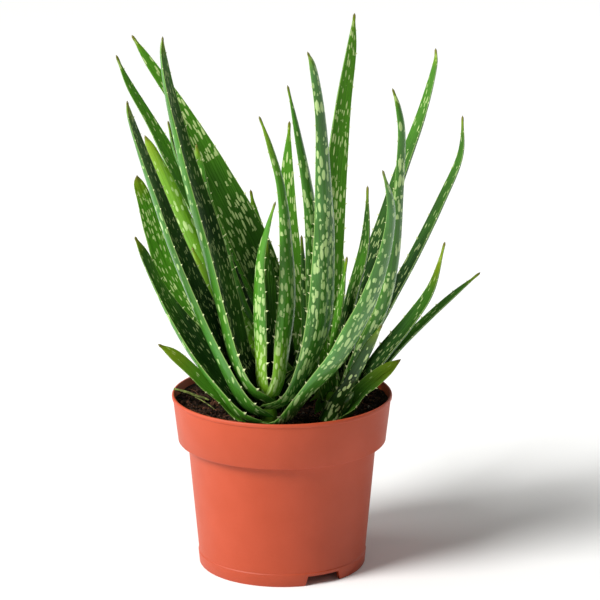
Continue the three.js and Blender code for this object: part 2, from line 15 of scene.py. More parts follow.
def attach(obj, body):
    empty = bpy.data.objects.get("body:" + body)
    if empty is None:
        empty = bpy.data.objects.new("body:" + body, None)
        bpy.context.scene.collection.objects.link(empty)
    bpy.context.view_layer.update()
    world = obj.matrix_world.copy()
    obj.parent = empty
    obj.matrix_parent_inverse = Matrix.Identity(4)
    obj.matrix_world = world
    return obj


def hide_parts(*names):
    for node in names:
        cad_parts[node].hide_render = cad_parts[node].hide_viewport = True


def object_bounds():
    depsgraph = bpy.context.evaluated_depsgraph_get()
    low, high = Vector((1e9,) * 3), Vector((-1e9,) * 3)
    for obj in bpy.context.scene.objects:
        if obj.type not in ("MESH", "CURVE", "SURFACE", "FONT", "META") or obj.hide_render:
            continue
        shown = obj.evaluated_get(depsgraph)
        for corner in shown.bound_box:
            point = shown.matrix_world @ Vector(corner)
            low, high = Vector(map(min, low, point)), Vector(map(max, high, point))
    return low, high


bl_info = {
    "name": "Potted aloe",
    "version": (1, 0, 0),
    "blender": (4, 5, 0),
    "location": "3D View > Sidebar > Potted aloe",
    "description": "Builds a potted aloe plant around its packed solids",
    "category": "Object",
}

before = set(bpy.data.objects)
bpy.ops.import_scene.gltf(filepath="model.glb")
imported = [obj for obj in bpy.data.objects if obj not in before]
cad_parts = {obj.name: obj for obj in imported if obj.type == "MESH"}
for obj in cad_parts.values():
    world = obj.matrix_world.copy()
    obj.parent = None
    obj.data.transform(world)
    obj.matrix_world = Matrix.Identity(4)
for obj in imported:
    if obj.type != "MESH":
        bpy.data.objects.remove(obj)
packed_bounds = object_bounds()

MM = 0.001
SAME_PLACE = 1e-6
UP = Vector((0, 0, 1))

# ---------- the part's own sizes, in millimetres ----------

GAP = 0.3
RIM_RADIUS = 60
RIM_Z = 96
COLLAR_RADIUS = 56.7
COLLAR_Z = 70
BODY_TOP_RADIUS = 51.5
BASE_RADIUS = 45.6
WALL = 1.4
SEAM_Z = 7
SEAM_STEP = 0.35
CHANNEL_Z = 5.5
DISC_RADIUS = 18
DISC_SLOPE = 2
FOOT_RING = 2.2
NOTCH_ANGLES = (-60, 120)
NOTCH_INSET = 4
NOTCH_DEPTH = 12
NOTCH_HEIGHT = 5.4
NOTCH_HALF_WIDTH = 11
NOTCH_TOP_HALF_WIDTH = 9.5
DRAIN_HOLES = 6
DRAIN_CIRCLE = 31
DRAIN_RADIUS = 4
DRAIN_CUT = 6

# The lip's outline from outside to inside: how far in from the rim, how far under its top.
LIP_OUTLINE = ((0.6, 2.3), (0.05, 1.9), (0, 0.8), (0.25, 0.2), (0.7, 0), (1.2, 0.1))
LIP_HEIGHT = 3

SOIL_EDGE_Z = 92
SOIL_DISH = 8
SOIL_RELIEF = 0.5
SOIL_RINGS = 72
SOIL_SIDES = 180
SOIL_SEED = 11
CRUMB_SHAPES = 6
CRUMB_PULL = 0.35
STRAND_SIDES = 5
FIBRE_STEPS = 5
BLADE_STEPS = 14
BLADE_ARCH = 0.5

# A withered blade that leans on the lip, and the fibres at its frayed end: from, to, width, thickness.
WITHERED_STRANDS = (
    ((-59.2, 5, 96.4), (-43.9, 2.5, 91.9), 2.9, 1.6),
    ((-47.5, 2.2, 92.6), (-36.5, -10, 89.4), 0.7, 0.5),
    ((-47.5, 3.8, 92.7), (-40, 1.2, 91.2), 2, 1),
)

STEM_ROOT_Z = 72
STEM_TAPER_Z = 90
STEM_RADIUS = 4.6
STEM_TOP_RADIUS = 3.2
STEM_SIDES = 24

# Each plant: its stem's place and the height its stem ends at.
PLANTS = {
    "front": (-7, -20, 104),
    "back": (8, 22, 104),
    "right": (27, -18, 101.5),
}

# Each leaf: name, height on the stem, radius of its sheath round the stem, the way its inner
# face looks at the stem and along the blade (degrees) with the blade's fold if it is a strong
# one, half width at the stem, middle line as (x, y, z, half width) with the tip last, and its
# look: how bright a green outside and inside, how spotted outside and inside, how large its
# spots and how waxy it is, each from 0 to about 1. The dark inside green is partly the leaf's
# own colour and partly painted shade; the wax also paints a pale sheen on the outer faces.
FRONT_LEAVES = (
    ("front_leaf_1", 102, 4.4, (0, 25), 9,
     ((-12, -21, 124, 6.4), (-12.5, -23, 153, 6), (-11.5, -25, 177, 3.9), (-7.5, -26, 194, 2.3),
      (-3, -27, 209, 0)), (0.52, 0.4, 1, 0.5, 0.9, 0.3)),
    ("front_leaf_2", 101, 4.9, (180, 150), 10,
     ((1, -17, 124, 8.8), (4, -15, 152, 7.8), (3, -13, 185, 5.4), (0, -11, 213, 3.5),
      (-6, -10, 235, 2.3), (-12, -8, 251, 0)), (0.5, 0.2, 0.85, 0.5, 0.8, 0.2)),
    ("front_leaf_3", 100, 5.4, (-60, -60), 7.5,
     ((-6, -7, 126.5, 6), (-7, -5, 156, 4.4), (-8, -3, 184, 0)), (0.1, 0, 0.5, 0.5, 0.5, 0.1)),
    ("front_leaf_4", 98, 6.4, (-12, -28, 1.15), 16,
     ((-24, -20, 118, 12.6), (-32, -15, 152, 11), (-41.3, -9, 188, 10.4), (-52, -4, 226, 7.4),
      (-59.4, 1, 258, 5), (-63, 5, 281, 2.9), (-63, 7, 291, 0)), (0.4, 0.1, 0.45, 0.8, 0.4, 0.6)),
    ("front_leaf_5", 95, 8.2, (180, 145), 20,
     ((11, -25, 113, 11.4), (22, -28, 142, 12), (24, -32, 188, 9), (23, -36, 222, 6.6),
      (21, -40, 256, 4.2), (17, -43, 282, 2.8), (13.5, -44, 292, 0)), (0.3, 0.1, 0.95, 0.6, 0.9, 0.5)),
    ("front_leaf_6", 91, 10, (-10, -24, 1.15), 21,
     ((-28, -21, 113.2, 13.4), (-43, -20, 147.9, 10), (-56.5, -23, 182.6, 7.8),
      (-66.8, -28, 214.6, 5.8), (-74.4, -31, 239.6, 4), (-79, -34, 256.6, 2.4), (-80, -35, 264.6, 0)),
     (0.35, 0.05, 0.4, 0.7, 0.3, 0.7)),
    ("front_leaf_7", 88.2, 11.4, (165, 150), 25,
     ((10, -32, 101, 9.4), (28, -39, 123, 9.2), (39, -44, 143, 10), (48, -49, 164, 8.4),
      (55, -55, 190, 5.8), (57, -62, 214, 3.6), (52, -68, 235, 0)), (0.34, 0.15, 0.75, 0.5, 0.8, 0.8)),
    ("front_leaf_8", 86.9, 12.4, (-10, -36, 1.05), 24,
     ((-30.5, -21, 105.2, 12.4), (-44.5, -20, 125, 10.4), (-56, -22, 143, 7), (-65.2, -26, 161.4, 4),
      (-72.4, -31, 180.2, 3.2), (-77, -36, 192.2, 0)), (0.42, 0.05, 0.3, 0.55, 0.3, 0.4)),
    ("front_leaf_9", 87.4, 13.2, (-20, -40), 12,
     ((-31, -24, 99, 4.4), (-41, -27, 108.4, 3.9), (-49, -30, 117.8, 3.7), (-57.5, -34, 127, 3.2),
      (-65.5, -38, 134, 0)), (0.45, 0.3, 0.1, 0.2, 0.2, 0.1)),
)
BACK_LEAVES = (
    ("back_leaf_1", 102, 4.4, (150, 130), 8,
     ((14, 23, 120.7, 4), (13, 24, 146.7, 3.2), (10.5, 23, 178.7, 0)), (0.15, 0.1, 0.5, 0.5, 0.4, 0.1)),
    ("back_leaf_2", 101, 4.9, (0, -50), 9,
     ((-1, 21, 124, 6), (-7, 22, 148, 5.6), (-12, 24, 172, 0)), (0.12, 0.05, 0.5, 0.5, 0.4, 0.1)),
    ("back_leaf_3", 100, 5.4, (-90, -100), 9.5,
     ((12, 34, 118, 6), (9, 39, 145, 6), (5, 43, 172, 5.4), (3, 47, 205, 4), (4, 52, 236, 0)),
     (0.42, 0.4, 0.8, 0.95, 0.9, 0.2)),
    ("back_leaf_4", 99, 5.9, (180, 150), 10.5,
     ((18, 16, 126, 7.2), (18, 14, 155, 6.8), (17, 13, 186, 6), (14, 13, 210, 4.6),
      (8.5, 14, 238, 2.8), (3, 16, 263, 0)), (0.36, 0.2, 0.95, 0.7, 0.7, 0.3)),
    ("back_leaf_5", 98, 6.4, (20, 40), 11.5,
     ((-19, 18, 126, 8.2), (-30, 19, 152, 8.4), (-36, 19, 174, 8), (-42, 18, 196, 6.6),
      (-45.4, 17, 220, 3.8), (-46, 16, 231, 0)), (0.38, 0.23, 0.7, 0.6, 0.5, 0.2)),
    ("back_leaf_6", 97, 7, (-56, -65), 12.5,
     ((-1.5, 39.8, 123, 9.2), (-17, 42.8, 165, 12), (-37, 44, 206.5, 9.4), (-54, 46, 241, 4.8),
      (-73, 49, 270, 2.6), (-82, 51, 284, 0)), (0.42, 0.24, 1, 1.1, 1.2, 0.3)),
    ("back_leaf_7", 95.8, 7.5, (-10, -20), 13.5,
     ((-15, 30, 123.2, 6.4), (-33, 34, 166, 5.8), (-47.8, 34, 199.5, 4.4), (-57.8, 33, 223, 3),
      (-62, 34, 240, 0)), (0.35, 0.15, 0.4, 0.5, 0.5, 0.2)),
    ("back_leaf_8", 94.4, 8, (15, 72), 14.5,
     ((-19, 13, 122, 8), (-38, 9, 156, 6.8), (-52.8, 5, 190, 5.4), (-60, 3, 208, 5),
      (-65.8, 1, 222, 3.8), (-70.5, 0, 233, 2.6), (-73, 0, 239, 0)), (0.74, 0.74, 0.75, 0.7, 0.4, 0.1)),
    ("back_leaf_9", 93, 8.5, (-20, -45), 15.5,
     ((-11, 40, 122.1, 7.4), (-35.3, 48, 167.6, 8.4), (-56, 50, 203.9, 6.4), (-72, 50, 235.1, 3.6),
      (-83.6, 49, 256.4, 2.4), (-90.6, 49, 273.4, 0)), (0.5, 0.3, 0.3, 0.4, 0.4, 0.5)),
    ("back_leaf_10", 90.2, 9.5, (-15, -62), 17,
     ((-20, 30, 102, 8.4), (-43, 37, 124, 9.2), (-61.4, 43, 151, 9.4), (-70.2, 46.5, 174, 7.4),
      (-76.4, 48, 193, 4.6), (-79.4, 48, 202, 3), (-80, 48, 206.5, 0)), (0.45, 0.3, 1, 1, 0.6, 0.2)),
    ("back_leaf_11", 88.8, 10, (50, 40), 16,
     ((-10, 7, 104, 5.6), (-26, -1, 129, 5.2), (-37.5, -6, 152, 4.8), (-44, -8, 168, 3.6),
      (-48, -9, 180, 0)), (0.85, 0.7, 0.1, 0.2, 0.5, 0.1)),
    ("back_leaf_12", 87.6, 10.6, (-75, -70), 17,
     ((4, 46, 108, 6.6), (-6, 62, 138, 5.8), (-14, 72, 170, 3.6), (-18, 76, 192, 0)),
     (0.45, 0.4, 0.6, 0.5, 0.7, 0.3)),
    ("back_leaf_13", 86.9, 11.2, (-135, -125), 19,
     ((23, 38, 104, 6), (30, 53, 126, 5.6), (33, 64, 146, 3.6), (33, 70, 162, 0)),
     (0.5, 0.45, 0.5, 0.4, 0.6, 0.3)),
)
RIGHT_LEAVES = (
    ("right_leaf_1", 99.6, 4.4, (-150, -140), 8,
     ((28, -13, 118, 3.6), (31, -11, 145, 3), (35, -10, 175, 0)), (0.25, 0.2, 0.5, 0.6, 0.4, 0.2)),
    ("right_leaf_2", 98.7, 4.9, (-130, -140), 9,
     ((32.5, -7, 120, 4.6), (38, -5, 150, 4.4), (45, -3, 180, 3.6), (46, 2, 211, 0)),
     (0.12, 0.02, 0.9, 1.1, 0.7, 0.2)),
    ("right_leaf_3", 97.5, 5.4, (-60, -60), 9.5,
     ((25, -4, 126, 8), (24.6, 1, 156, 8.2), (26.2, 5, 188, 8), (28.2, 9, 216, 7.2),
      (32.2, 14, 252, 5.2), (37, 19, 282, 3.2), (39, 22, 301, 0)), (0.4, 0.4, 0.7, 0.95, 0.7, 0.3)),
    ("right_leaf_4", 96, 6, (175, 155), 11,
     ((39, -18, 118, 6.4), (53.5, -21, 147, 7), (60, -22, 176, 6.2), (62.5, -23, 213, 4.8),
      (63.5, -24, 243, 3.8), (61.5, -24, 258, 2.6), (58, -24, 269, 0)), (0.3, 0.15, 0.8, 0.5, 0.6, 0.2)),
    ("right_leaf_5", 94.5, 6.6, (-120, -140), 12,
     ((35, -1, 118, 6.8), (42, 6, 150, 6.2), (55, 14, 184, 5.8), (65.3, 23, 214, 5),
      (76, 32, 243, 3.8), (83, 41, 268, 2), (83.5, 44, 278, 0)), (0.25, 0.12, 0.5, 0.6, 0.5, 0.4)),
    ("right_leaf_6", 93, 7.2, (-160, -145), 13,
     ((44, -8, 120, 5), (58.5, -3, 148, 4.6), (72.5, 3, 173, 4.2), (86.5, 10, 201, 3.6),
      (96.4, 17, 224, 2.6), (97.5, 23, 245, 0)), (0.25, 0.06, 0.4, 0.5, 0.5, 0.6)),
    ("right_leaf_7", 91.4, 7.8, (175, -150), 14,
     ((42, -16, 104, 6), (55, -18, 123, 5.4), (69, -21, 142, 4.6), (80, -24, 161, 3.3),
      (86.5, -26, 187, 0)), (0.24, 0.05, 0.4, 0.5, 0.4, 0.3)),
    ("right_leaf_8", 90, 8.4, (-165, -150), 13,
     ((47, -9, 103, 3.8), (62, -4, 121, 3.4), (79, 2, 137, 3), (94, 8, 149.5, 2.3), (108, 14, 160, 0)),
     (0.2, 0.1, 0.3, 0.4, 0.3, 0.4)),
    ("right_leaf_9", 87.8, 9, (80, 120), 7,
     ((29.5, -28.5, 98.5, 4.6), (35.6, -31, 109, 4.4), (41.5, -35, 121, 4), (47, -40, 134, 3.3),
      (53, -46, 147, 0)), (0.16, 0.1, 1, 0.5, 0.5, 0)),
    ("right_leaf_10", 88.2, 9.4, (165, -130), 10,
     ((40.5, -22.5, 101, 4.6), (49.5, -24, 110, 4.6), (57.5, -24, 116.7, 3.4), (64, -23, 121.4, 0)),
     (0.3, 0.1, 0.1, 0.2, 0.4, 0.1)),
    ("right_leaf_11", 88.6, 9.6, (-105, -110), 16,
     ((38, 4, 104, 5.6), (45, 20, 126, 5), (50, 34, 150, 3.2), (51, 42, 168, 0)),
     (0.45, 0.45, 0.5, 0.5, 0.6, 0.3)),
)

# How far from its tip a leaf has ripened to yellow, in millimetres: most leaves, and the others.
RIPE_LENGTH = 12
RIPE_LENGTHS = {
    "front_leaf_2": 36, "front_leaf_9": 34, "back_leaf_8": 26, "back_leaf_10": 16, "back_leaf_11": 26,
    "right_leaf_9": 18, "right_leaf_10": 26, "right_leaf_7": 30,
}

# The photo's viewing angle: the point looked at, the distance and height of the camera, the lens.
LOOK_AT = (9.8, 0, 148)
CAMERA_DISTANCE = 1650
CAMERA_ELEVATION = 14.9
CAMERA_LENS = 183.2
SENSOR_WIDTH = 36

# Each plant's leaves, and the seed of its random draws.
GROWTH = {"front": (FRONT_LEAVES, 21), "back": (BACK_LEAVES, 22), "right": (RIGHT_LEAVES, 23)}

# The lights, in metres and watts: where the sun stands, then name, place, power and width of each softbox.
SUN_PLACE = (-1.9, -1.25, 2.0)
SUN_ANGLE = 26
SUN_TARGET = (0, 0, 0.15)
SOFTBOXES = (
    ("left_softbox", (-1.5, 0.1, 0.7), 9, 0.8),
    ("right_softbox", (1.2, 1.1, 0.8), 4.5, 0.5),
)
SOFTBOX_HEIGHT = 1.4
SOFTBOX_TARGET = (0, 0, 0.2)
FLOOR_SIZE = 14

# ---------- settings ----------


def colour(red, green, blue):
    """A screen colour, 0 to 255, as the linear values that Blender keeps."""
    parts = []
    for value in (red, green, blue):
        share = value / 255
        parts.append(share / 12.92 if share <= 0.04045 else ((share + 0.055) / 1.055) ** 2.4)
    return (*parts, 1.0)


def colour_setting(name, description, rgb):
    return bpy.props.FloatVectorProperty(
        name=name, description=description, subtype="COLOR", size=4, min=0, max=1, default=colour(*rgb)
    )


def count_setting(name, description, count, least=0):
    return bpy.props.IntProperty(name=name, description=description, min=least, default=count)


def strength_setting(name, description, strength):
    return bpy.props.FloatProperty(name=name, description=description, min=0, default=strength)


def length_setting(name, description, millimetres):
    return bpy.props.FloatProperty(
        name=name, description=description, unit="LENGTH", subtype="DISTANCE", min=0,
        default=millimetres * MM, precision=5
    )


class PotSettings(bpy.types.PropertyGroup):
    """The nursery pot"""

    plastic: colour_setting("Plastic", "Colour of the moulded plastic", (182, 70, 35))
    edge_rounding: length_setting("Edge rounding", "Radius of the pot's small edges", 0.35)
    sides: count_setting("Sides", "Faces round the pot", 144, 32)


class SoilSettings(bpy.types.PropertyGroup):
    """The potting soil"""

    peat: colour_setting("Peat", "Colour of the fine soil", (22, 14, 10))
    bark: colour_setting("Bark", "Colour of the lighter crumbs", (96, 60, 42))
    fibre: colour_setting("Fibre", "Colour of the coir fibres", (122, 84, 58))
    perlite: colour_setting("Perlite", "Colour of the pale grains", (205, 196, 176))
    crumbs: count_setting("Crumbs", "Loose crumbs on the soil", 4200)
    fibres: count_setting("Fibres", "Loose fibres on the soil", 420)
    grains: count_setting("Grains", "Pale grains on the soil", 46)


class LeafSettings(bpy.types.PropertyGroup):
    """The aloe leaves"""

    # The dark green is also where the inner faces' painted shade ends up.
    dark_green: colour_setting("Dark green", "Colour of the darkest leaves", (14, 44, 4))
    mid_green: colour_setting("Green", "Colour of most leaves", (74, 134, 24))
    young_green: colour_setting("Young green", "Colour of the brightest leaves", (122, 170, 32))
    spots: colour_setting("Spots", "Colour of the spots", (208, 228, 152))
    margin: colour_setting("Margin", "Colour of the thin line along the margin", (164, 190, 104))
    teeth: colour_setting("Teeth", "Colour of the teeth", (244, 242, 186))
    ripe_green: colour_setting("Ripe green", "Colour that a leaf ripens to near its tip", (136, 158, 14))
    dry_tip: colour_setting("Dry tip", "Colour of the very tip", (104, 84, 34))
    # Colour of the waxy bloom, which also stands in for a painted sheen.
    wax_and_sheen: colour_setting("Wax", "Colour of the waxy bloom", (128, 170, 138))
    tooth_height: length_setting("Tooth height", "Height of a tooth low on the leaf", 1.8)
    tooth_pitch: length_setting("Tooth pitch", "Distance between teeth along a margin", 10.5)
    ring_pitch: length_setting("Ring pitch", "Distance between a leaf's rings of points", 2.4)
    points_round: count_setting("Points", "Points round a leaf", 28, 12)


class StageSettings(bpy.types.PropertyGroup):
    """Floor, lights and camera"""

    floor: colour_setting("Floor", "Colour of the floor", (246, 246, 244))
    sky: strength_setting("Sky", "Strength of the light all round", 0.2)
    key: strength_setting("Key", "Strength of the main light", 4.3)


SETTINGS = {
    "aloe_pot": PotSettings,
    "aloe_soil": SoilSettings,
    "aloe_leaf": LeafSettings,
    "aloe_stage": StageSettings,
}


# ---------- materials ----------


class Wire:
    """A node's output that can be used in a sum as a number is."""

    def __init__(self, recipe, socket):
        self.recipe = recipe
        self.socket = socket

    def _sum(self, operation, first, second):
        return self.recipe.node("ShaderNodeMath", {"operation": operation}, {0: first, 1: second})

    def __add__(self, other):
        return self._sum("ADD", self, other)

    def __radd__(self, other):
        return self._sum("ADD", other, self)

    def __sub__(self, other):
        return self._sum("SUBTRACT", self, other)

    def __rsub__(self, other):
        return self._sum("SUBTRACT", other, self)

    def __mul__(self, other):
        return self._sum("MULTIPLY", self, other)

    def __rmul__(self, other):
        return self._sum("MULTIPLY", other, self)

    def __truediv__(self, other):
        return self._sum("DIVIDE", self, other)


class Recipe:
    """A material and the nodes that paint it."""

    def __init__(self, name):
        self.material = bpy.data.materials.new(name)
        self.material.use_nodes = True
        self.tree = self.material.node_tree
        self.shader = next(n for n in self.tree.nodes if n.type == "BSDF_PRINCIPLED")

    def node(self, kind, settings=None, inputs=None, output=0):
        """Adds a node, sets it up, feeds it, and gives back one of its outputs."""
        made = self.tree.nodes.new(kind)
        for key, value in (settings or {}).items():
            setattr(made, key, value)
        for key, value in (inputs or {}).items():
            self.feed(made.inputs[key], value)
        return Wire(self, made.outputs[output])

    def feed(self, socket, value):
        if isinstance(value, Wire):
            self.tree.links.new(value.socket, socket)
        else:
            socket.default_value = value

    def attribute(self, name):
        """The three numbers of a mesh attribute."""
        vector = self.node("ShaderNodeAttribute", {"attribute_name": name}, output="Vector")
        return self.split(vector)

    def split(self, vector):
        made = self.tree.nodes.new("ShaderNodeSeparateXYZ")
        self.feed(made.inputs[0], vector)
        return [Wire(self, made.outputs[i]) for i in range(3)]

    def vector(self, x, y, z=0.0):
        return self.node("ShaderNodeCombineXYZ", None, {0: x, 1: y, 2: z})

    def object_place(self):
        return self.node("ShaderNodeTexCoord", output="Object")

    def noise(self, vector, scale, detail=2.0, roughness=0.5):
        return self.node("ShaderNodeTexNoise", None,
                         {"Vector": vector, "Scale": scale, "Detail": detail, "Roughness": roughness})

    def ease(self, value, low, high):
        """0 below low, 1 above high, smooth between; high may be the lower one."""
        if low > high:
            return 1 - self.ease(value, high, low)
        return self.node("ShaderNodeMapRange", {"interpolation_type": "SMOOTHSTEP"},
                         {"Value": value, "From Min": low, "From Max": high})

    def mix(self, share, first, second):
        return self.node("ShaderNodeMix", {"data_type": "RGBA"}, {0: share, 6: first, 7: second}, output=2)

    def bump(self, height, strength, distance):
        return self.node("ShaderNodeBump", None,
                         {"Height": height, "Strength": strength, "Distance": distance})

    def finish(self, **sockets):
        """Feeds the shader's sockets, named with _ for a space."""
        for key, value in sockets.items():
            self.feed(self.shader.inputs[key.replace("_", " ")], value)
        return self.material


def plastic_finish(settings):
    recipe = Recipe("pot_plastic")
    place = recipe.object_place()
    mottle = recipe.noise(place, 55, 3)
    grain = recipe.noise(place, 2600, 2)
    base = tuple(settings.plastic)
    darker = tuple(0.9 * c for c in base[:3]) + (1,)
    lighter = tuple(min(1, 1.05 * c + 0.01) for c in base[:3]) + (1,)
    # Painted shade: the plastic is drawn up to 16% darker toward the bottom of the body.
    painted_low_shade = 0.16 * recipe.ease(recipe.split(place)[2], 0.065, 0.0)
    painted = recipe.mix(painted_low_shade, recipe.mix(mottle, darker, lighter), (0, 0, 0, 1))
    return recipe.finish(
        Base_Color=painted,
        Roughness=0.46 + 0.08 * recipe.noise(place, 140, 2),
        Normal=recipe.bump(grain, 0.25, 0.0004),
        Specular_IOR_Level=0.35,
    )


def soil_finish(name, low, high, roughness=0.95):
    """An earthy finish between two colours."""
    recipe = Recipe(name)
    place = recipe.object_place()
    speckle = recipe.noise(place, 420, 4, 0.65)
    return recipe.finish(
        Base_Color=recipe.mix(recipe.ease(speckle, 0.38, 0.66), low, high),
        Roughness=roughness,
        Normal=recipe.bump(recipe.noise(place, 1500, 3), 0.8, 0.0006),
        Specular_IOR_Level=0.2,
    )


def stem_finish(settings):
    recipe = Recipe("stem_green")
    place = recipe.object_place()
    mottle = recipe.noise(place, 180, 3)
    return recipe.finish(
        Base_Color=recipe.mix(mottle, tuple(settings.mid_green), tuple(settings.young_green)),
        Roughness=0.5,
        Normal=recipe.bump(recipe.noise(place, 900, 2), 0.4, 0.0003),
    )


def spot_layer(recipe, across, along, width, length, cover, size, shift):
    """Pale spots: stretched cells, some of them filled, in loose bands across the leaf."""
    drift = recipe.noise(recipe.vector(across * 0.1 + shift, along * 0.06), 1.0, 1) - 0.5
    grid = recipe.vector((across + drift * 1.4) / width + shift, along / length + drift * 0.9)
    settings = {"voronoi_dimensions": "2D", "feature": "F1"}
    cells = recipe.node("ShaderNodeTexVoronoi", settings, {"Vector": grid, "Scale": 1.0, "Randomness": 0.8})
    tint = Wire(recipe, cells.socket.node.outputs["Color"])
    chance, amount, fade = recipe.split(tint)
    bands = recipe.ease(recipe.noise(recipe.vector(along * 0.11, across * 0.03, shift), 1.0, 1), 0.34, 0.6)
    filled = recipe.ease(cover * (0.18 + 0.82 * bands) - chance, 0.0, 0.04)
    radius = (0.26 + 0.18 * amount) * (0.78 + 0.3 * size)
    return filled * recipe.ease(cells / radius, 1.12, 0.82) * (0.72 + 0.28 * fade)


def leaf_finish(settings):
    """Waxy green flesh with spots, a pale margin line, cream teeth and a dry tip; painted shade on the inner
    faces and a painted sheen in the bloom.
    """
    recipe = Recipe("aloe_leaf")
    across, along, shift = recipe.attribute("leaf_place")
    edge, inner, tooth = recipe.attribute("leaf_zone")
    ripe = recipe.attribute("leaf_ripe")[0]
    # On the inner faces the tone carries painted shade as well as the leaf's own darker green.
    tone, outside_spots, inside_spots = recipe.attribute("leaf_look")
    size, wax_and_sheen, from_tip = recipe.attribute("leaf_wear")

    cloud = recipe.noise(recipe.vector(across * 0.05 + shift, along * 0.022), 1.0, 3)
    streak = recipe.noise(recipe.vector(across * 1.1 + shift, along * 0.02), 1.0, 2)
    shade = tone + (cloud - 0.5) * 0.45 + (streak - 0.5) * 0.2
    young_base = recipe.ease(along, 42, 8) * recipe.ease(tone, 0.42, 0.52)
    # Young leaves grow lighter toward their tips, and the inner faces' painted shade lifts toward the tip.
    tip_light = recipe.ease(from_tip, 115, 25) * (recipe.ease(tone, 0.5, 0.6) * 0.3 + inner * 0.16)
    shade = shade + young_base * 0.75 + tip_light
    green = recipe.mix(recipe.ease(shade, 0.0, 0.5), tuple(settings.dark_green), tuple(settings.mid_green))
    green = recipe.mix(recipe.ease(shade, 0.5, 1.05), green, tuple(settings.young_green))
    # A pale bluish bloom on the outer faces: partly the leaf's waxy bloom, partly a painted sheen.
    bloom_and_sheen = wax_and_sheen * (0.04 + 0.3 * recipe.ease(cloud, 0.45, 0.75)) * (1 - inner)
    green = recipe.mix(bloom_and_sheen, green, tuple(settings.wax_and_sheen))

    toward_tip = recipe.ease(from_tip, 12, 60)
    cover = outside_spots * (0.35 + 0.65 * toward_tip)
    outer = spot_layer(recipe, across, along, 2.1, 7.4, cover, size, shift)
    small = spot_layer(recipe, across, along, 1.3, 4.6, cover * 0.6, size * 0.6, shift + 31)
    thin = spot_layer(recipe, across, along, 0.9 + 0.75 * size, 4.2 + 2.4 * size, inside_spots * 0.85,
                      size * 0.6, shift + 57)
    clear_edge = recipe.ease(edge, 0.97, 0.88)
    outer = recipe.node("ShaderNodeMath", {"operation": "MAXIMUM"}, {0: outer, 1: small * 0.75})
    spots = (outer * (1 - inner) + thin * inner * recipe.ease(tone, -0.3, 0.4)) * clear_edge
    painted = recipe.mix(spots * 0.92, green, tuple(settings.spots))

    line = recipe.ease(edge, 0.955, 0.995) * recipe.ease(from_tip, 2, 14)
    painted = recipe.mix(line * 0.75, painted, tuple(settings.margin))
    ripening = recipe.ease(from_tip / ripe + (cloud - 0.5) * 0.5, 1.1, 0.1)
    painted = recipe.mix(ripening * 0.65, painted, tuple(settings.ripe_green))
    painted = recipe.mix(recipe.ease(from_tip, 5.0, 0.5) * 0.85, painted, tuple(settings.dry_tip))
    painted = recipe.mix(tooth, painted, tuple(settings.teeth))

    pores = recipe.noise(recipe.vector(across * 2.4 + shift, along * 1.1), 1.0, 2)
    ribs = recipe.noise(recipe.vector(across * 0.8 + shift, along * 0.025), 1.0, 3)
    height = pores * 0.5 + ribs * 2.2 + spots * 0.25
    return recipe.finish(
        Base_Color=painted,
        Roughness=0.4 + 0.12 * cloud + inner * 0.12,
        Normal=recipe.bump(height, 0.5, 0.0007),
        Specular_IOR_Level=0.22,
        Specular_Tint=(0.7, 1.0, 0.76, 1),
        Coat_Weight=(1 - inner) * (0.45 + wax_and_sheen * 0.5),
        Coat_Roughness=0.22,
        Coat_Tint=(0.86, 1.0, 0.92, 1),
    )


# ---------- modelling ----------


def clear_selection():
    if bpy.context.object and bpy.context.object.mode != "OBJECT":
        bpy.ops.object.mode_set(mode="OBJECT")
    bpy.ops.object.select_all(action="DESELECT")


def make_active(piece):
    clear_selection()
    piece.select_set(True)
    bpy.context.view_layer.objects.active = piece


def new_piece(name, points, faces=(), edges=()):
    """A mesh object from its points in millimetres, kept inside the packed part's box."""
    low, high = packed_bounds
    placed = np.clip(np.array(points, float) * MM, low, high)
    mesh = bpy.data.meshes.new(name)
    mesh.from_pydata(placed.tolist(), edges, faces)
    piece = bpy.data.objects.new(name, mesh)
    bpy.context.scene.collection.objects.link(piece)
    return piece


def apply_modifier(piece, kind, **settings):
    make_active(piece)
    modifier = piece.modifiers.new(kind.title(), kind)
    for key, value in settings.items():
        setattr(modifier, key, value)
    bpy.ops.object.modifier_apply(modifier=modifier.name)


def tidy_mesh(piece, join=True):
    """Turns every face outwards, with doubled points joined first unless join is off."""
    mesh = bmesh.new()
    mesh.from_mesh(piece.data)
    if join:
        bmesh.ops.remove_doubles(mesh, verts=mesh.verts, dist=SAME_PLACE)
    bmesh.ops.recalc_face_normals(mesh, faces=mesh.faces)
    mesh.to_mesh(piece.data)
    mesh.free()


def smooth(piece, degrees):
    make_active(piece)
    bpy.ops.object.shade_smooth_by_angle(angle=math.radians(degrees))


def put_in_place(piece):
    """Moves the piece's place into its mesh, so that its object sits at the origin."""
    make_active(piece)
    bpy.ops.object.transform_apply(location=True, rotation=True, scale=True)


def hand_over(piece, material, node):
    """Paints the piece, puts it on the body root and hides the packed piece it stands for."""
    piece.data.materials.clear()
    piece.data.materials.append(material)
    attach(piece, "root")
    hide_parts(node)


def spin_outline(name, outline, sides):
    """Spins an outline of (radius, height) pairs about Z into a closed shell."""
    points = [(r, 0, z) for r, z in outline]
    edges = [(i, i + 1) for i in range(len(points) - 1)]
    piece = new_piece(name, points, edges=edges)
    make_active(piece)
    bpy.ops.object.mode_set(mode="EDIT")
    bpy.ops.mesh.select_all(action="SELECT")
    bpy.ops.mesh.spin(steps=sides, angle=2 * math.pi, center=(0, 0, 0), axis=(0, 0, 1))
    bpy.ops.mesh.select_all(action="SELECT")
    bpy.ops.mesh.remove_doubles(threshold=SAME_PLACE)
    bpy.ops.mesh.normals_make_consistent(inside=False)
    bpy.ops.object.mode_set(mode="OBJECT")
    return piece


def mix(first, second, share):
    return first + (second - first) * share


def blend(first, second, share):
    """A colour between two colours."""
    return tuple(mix(a, b, share) for a, b in zip(first, second))


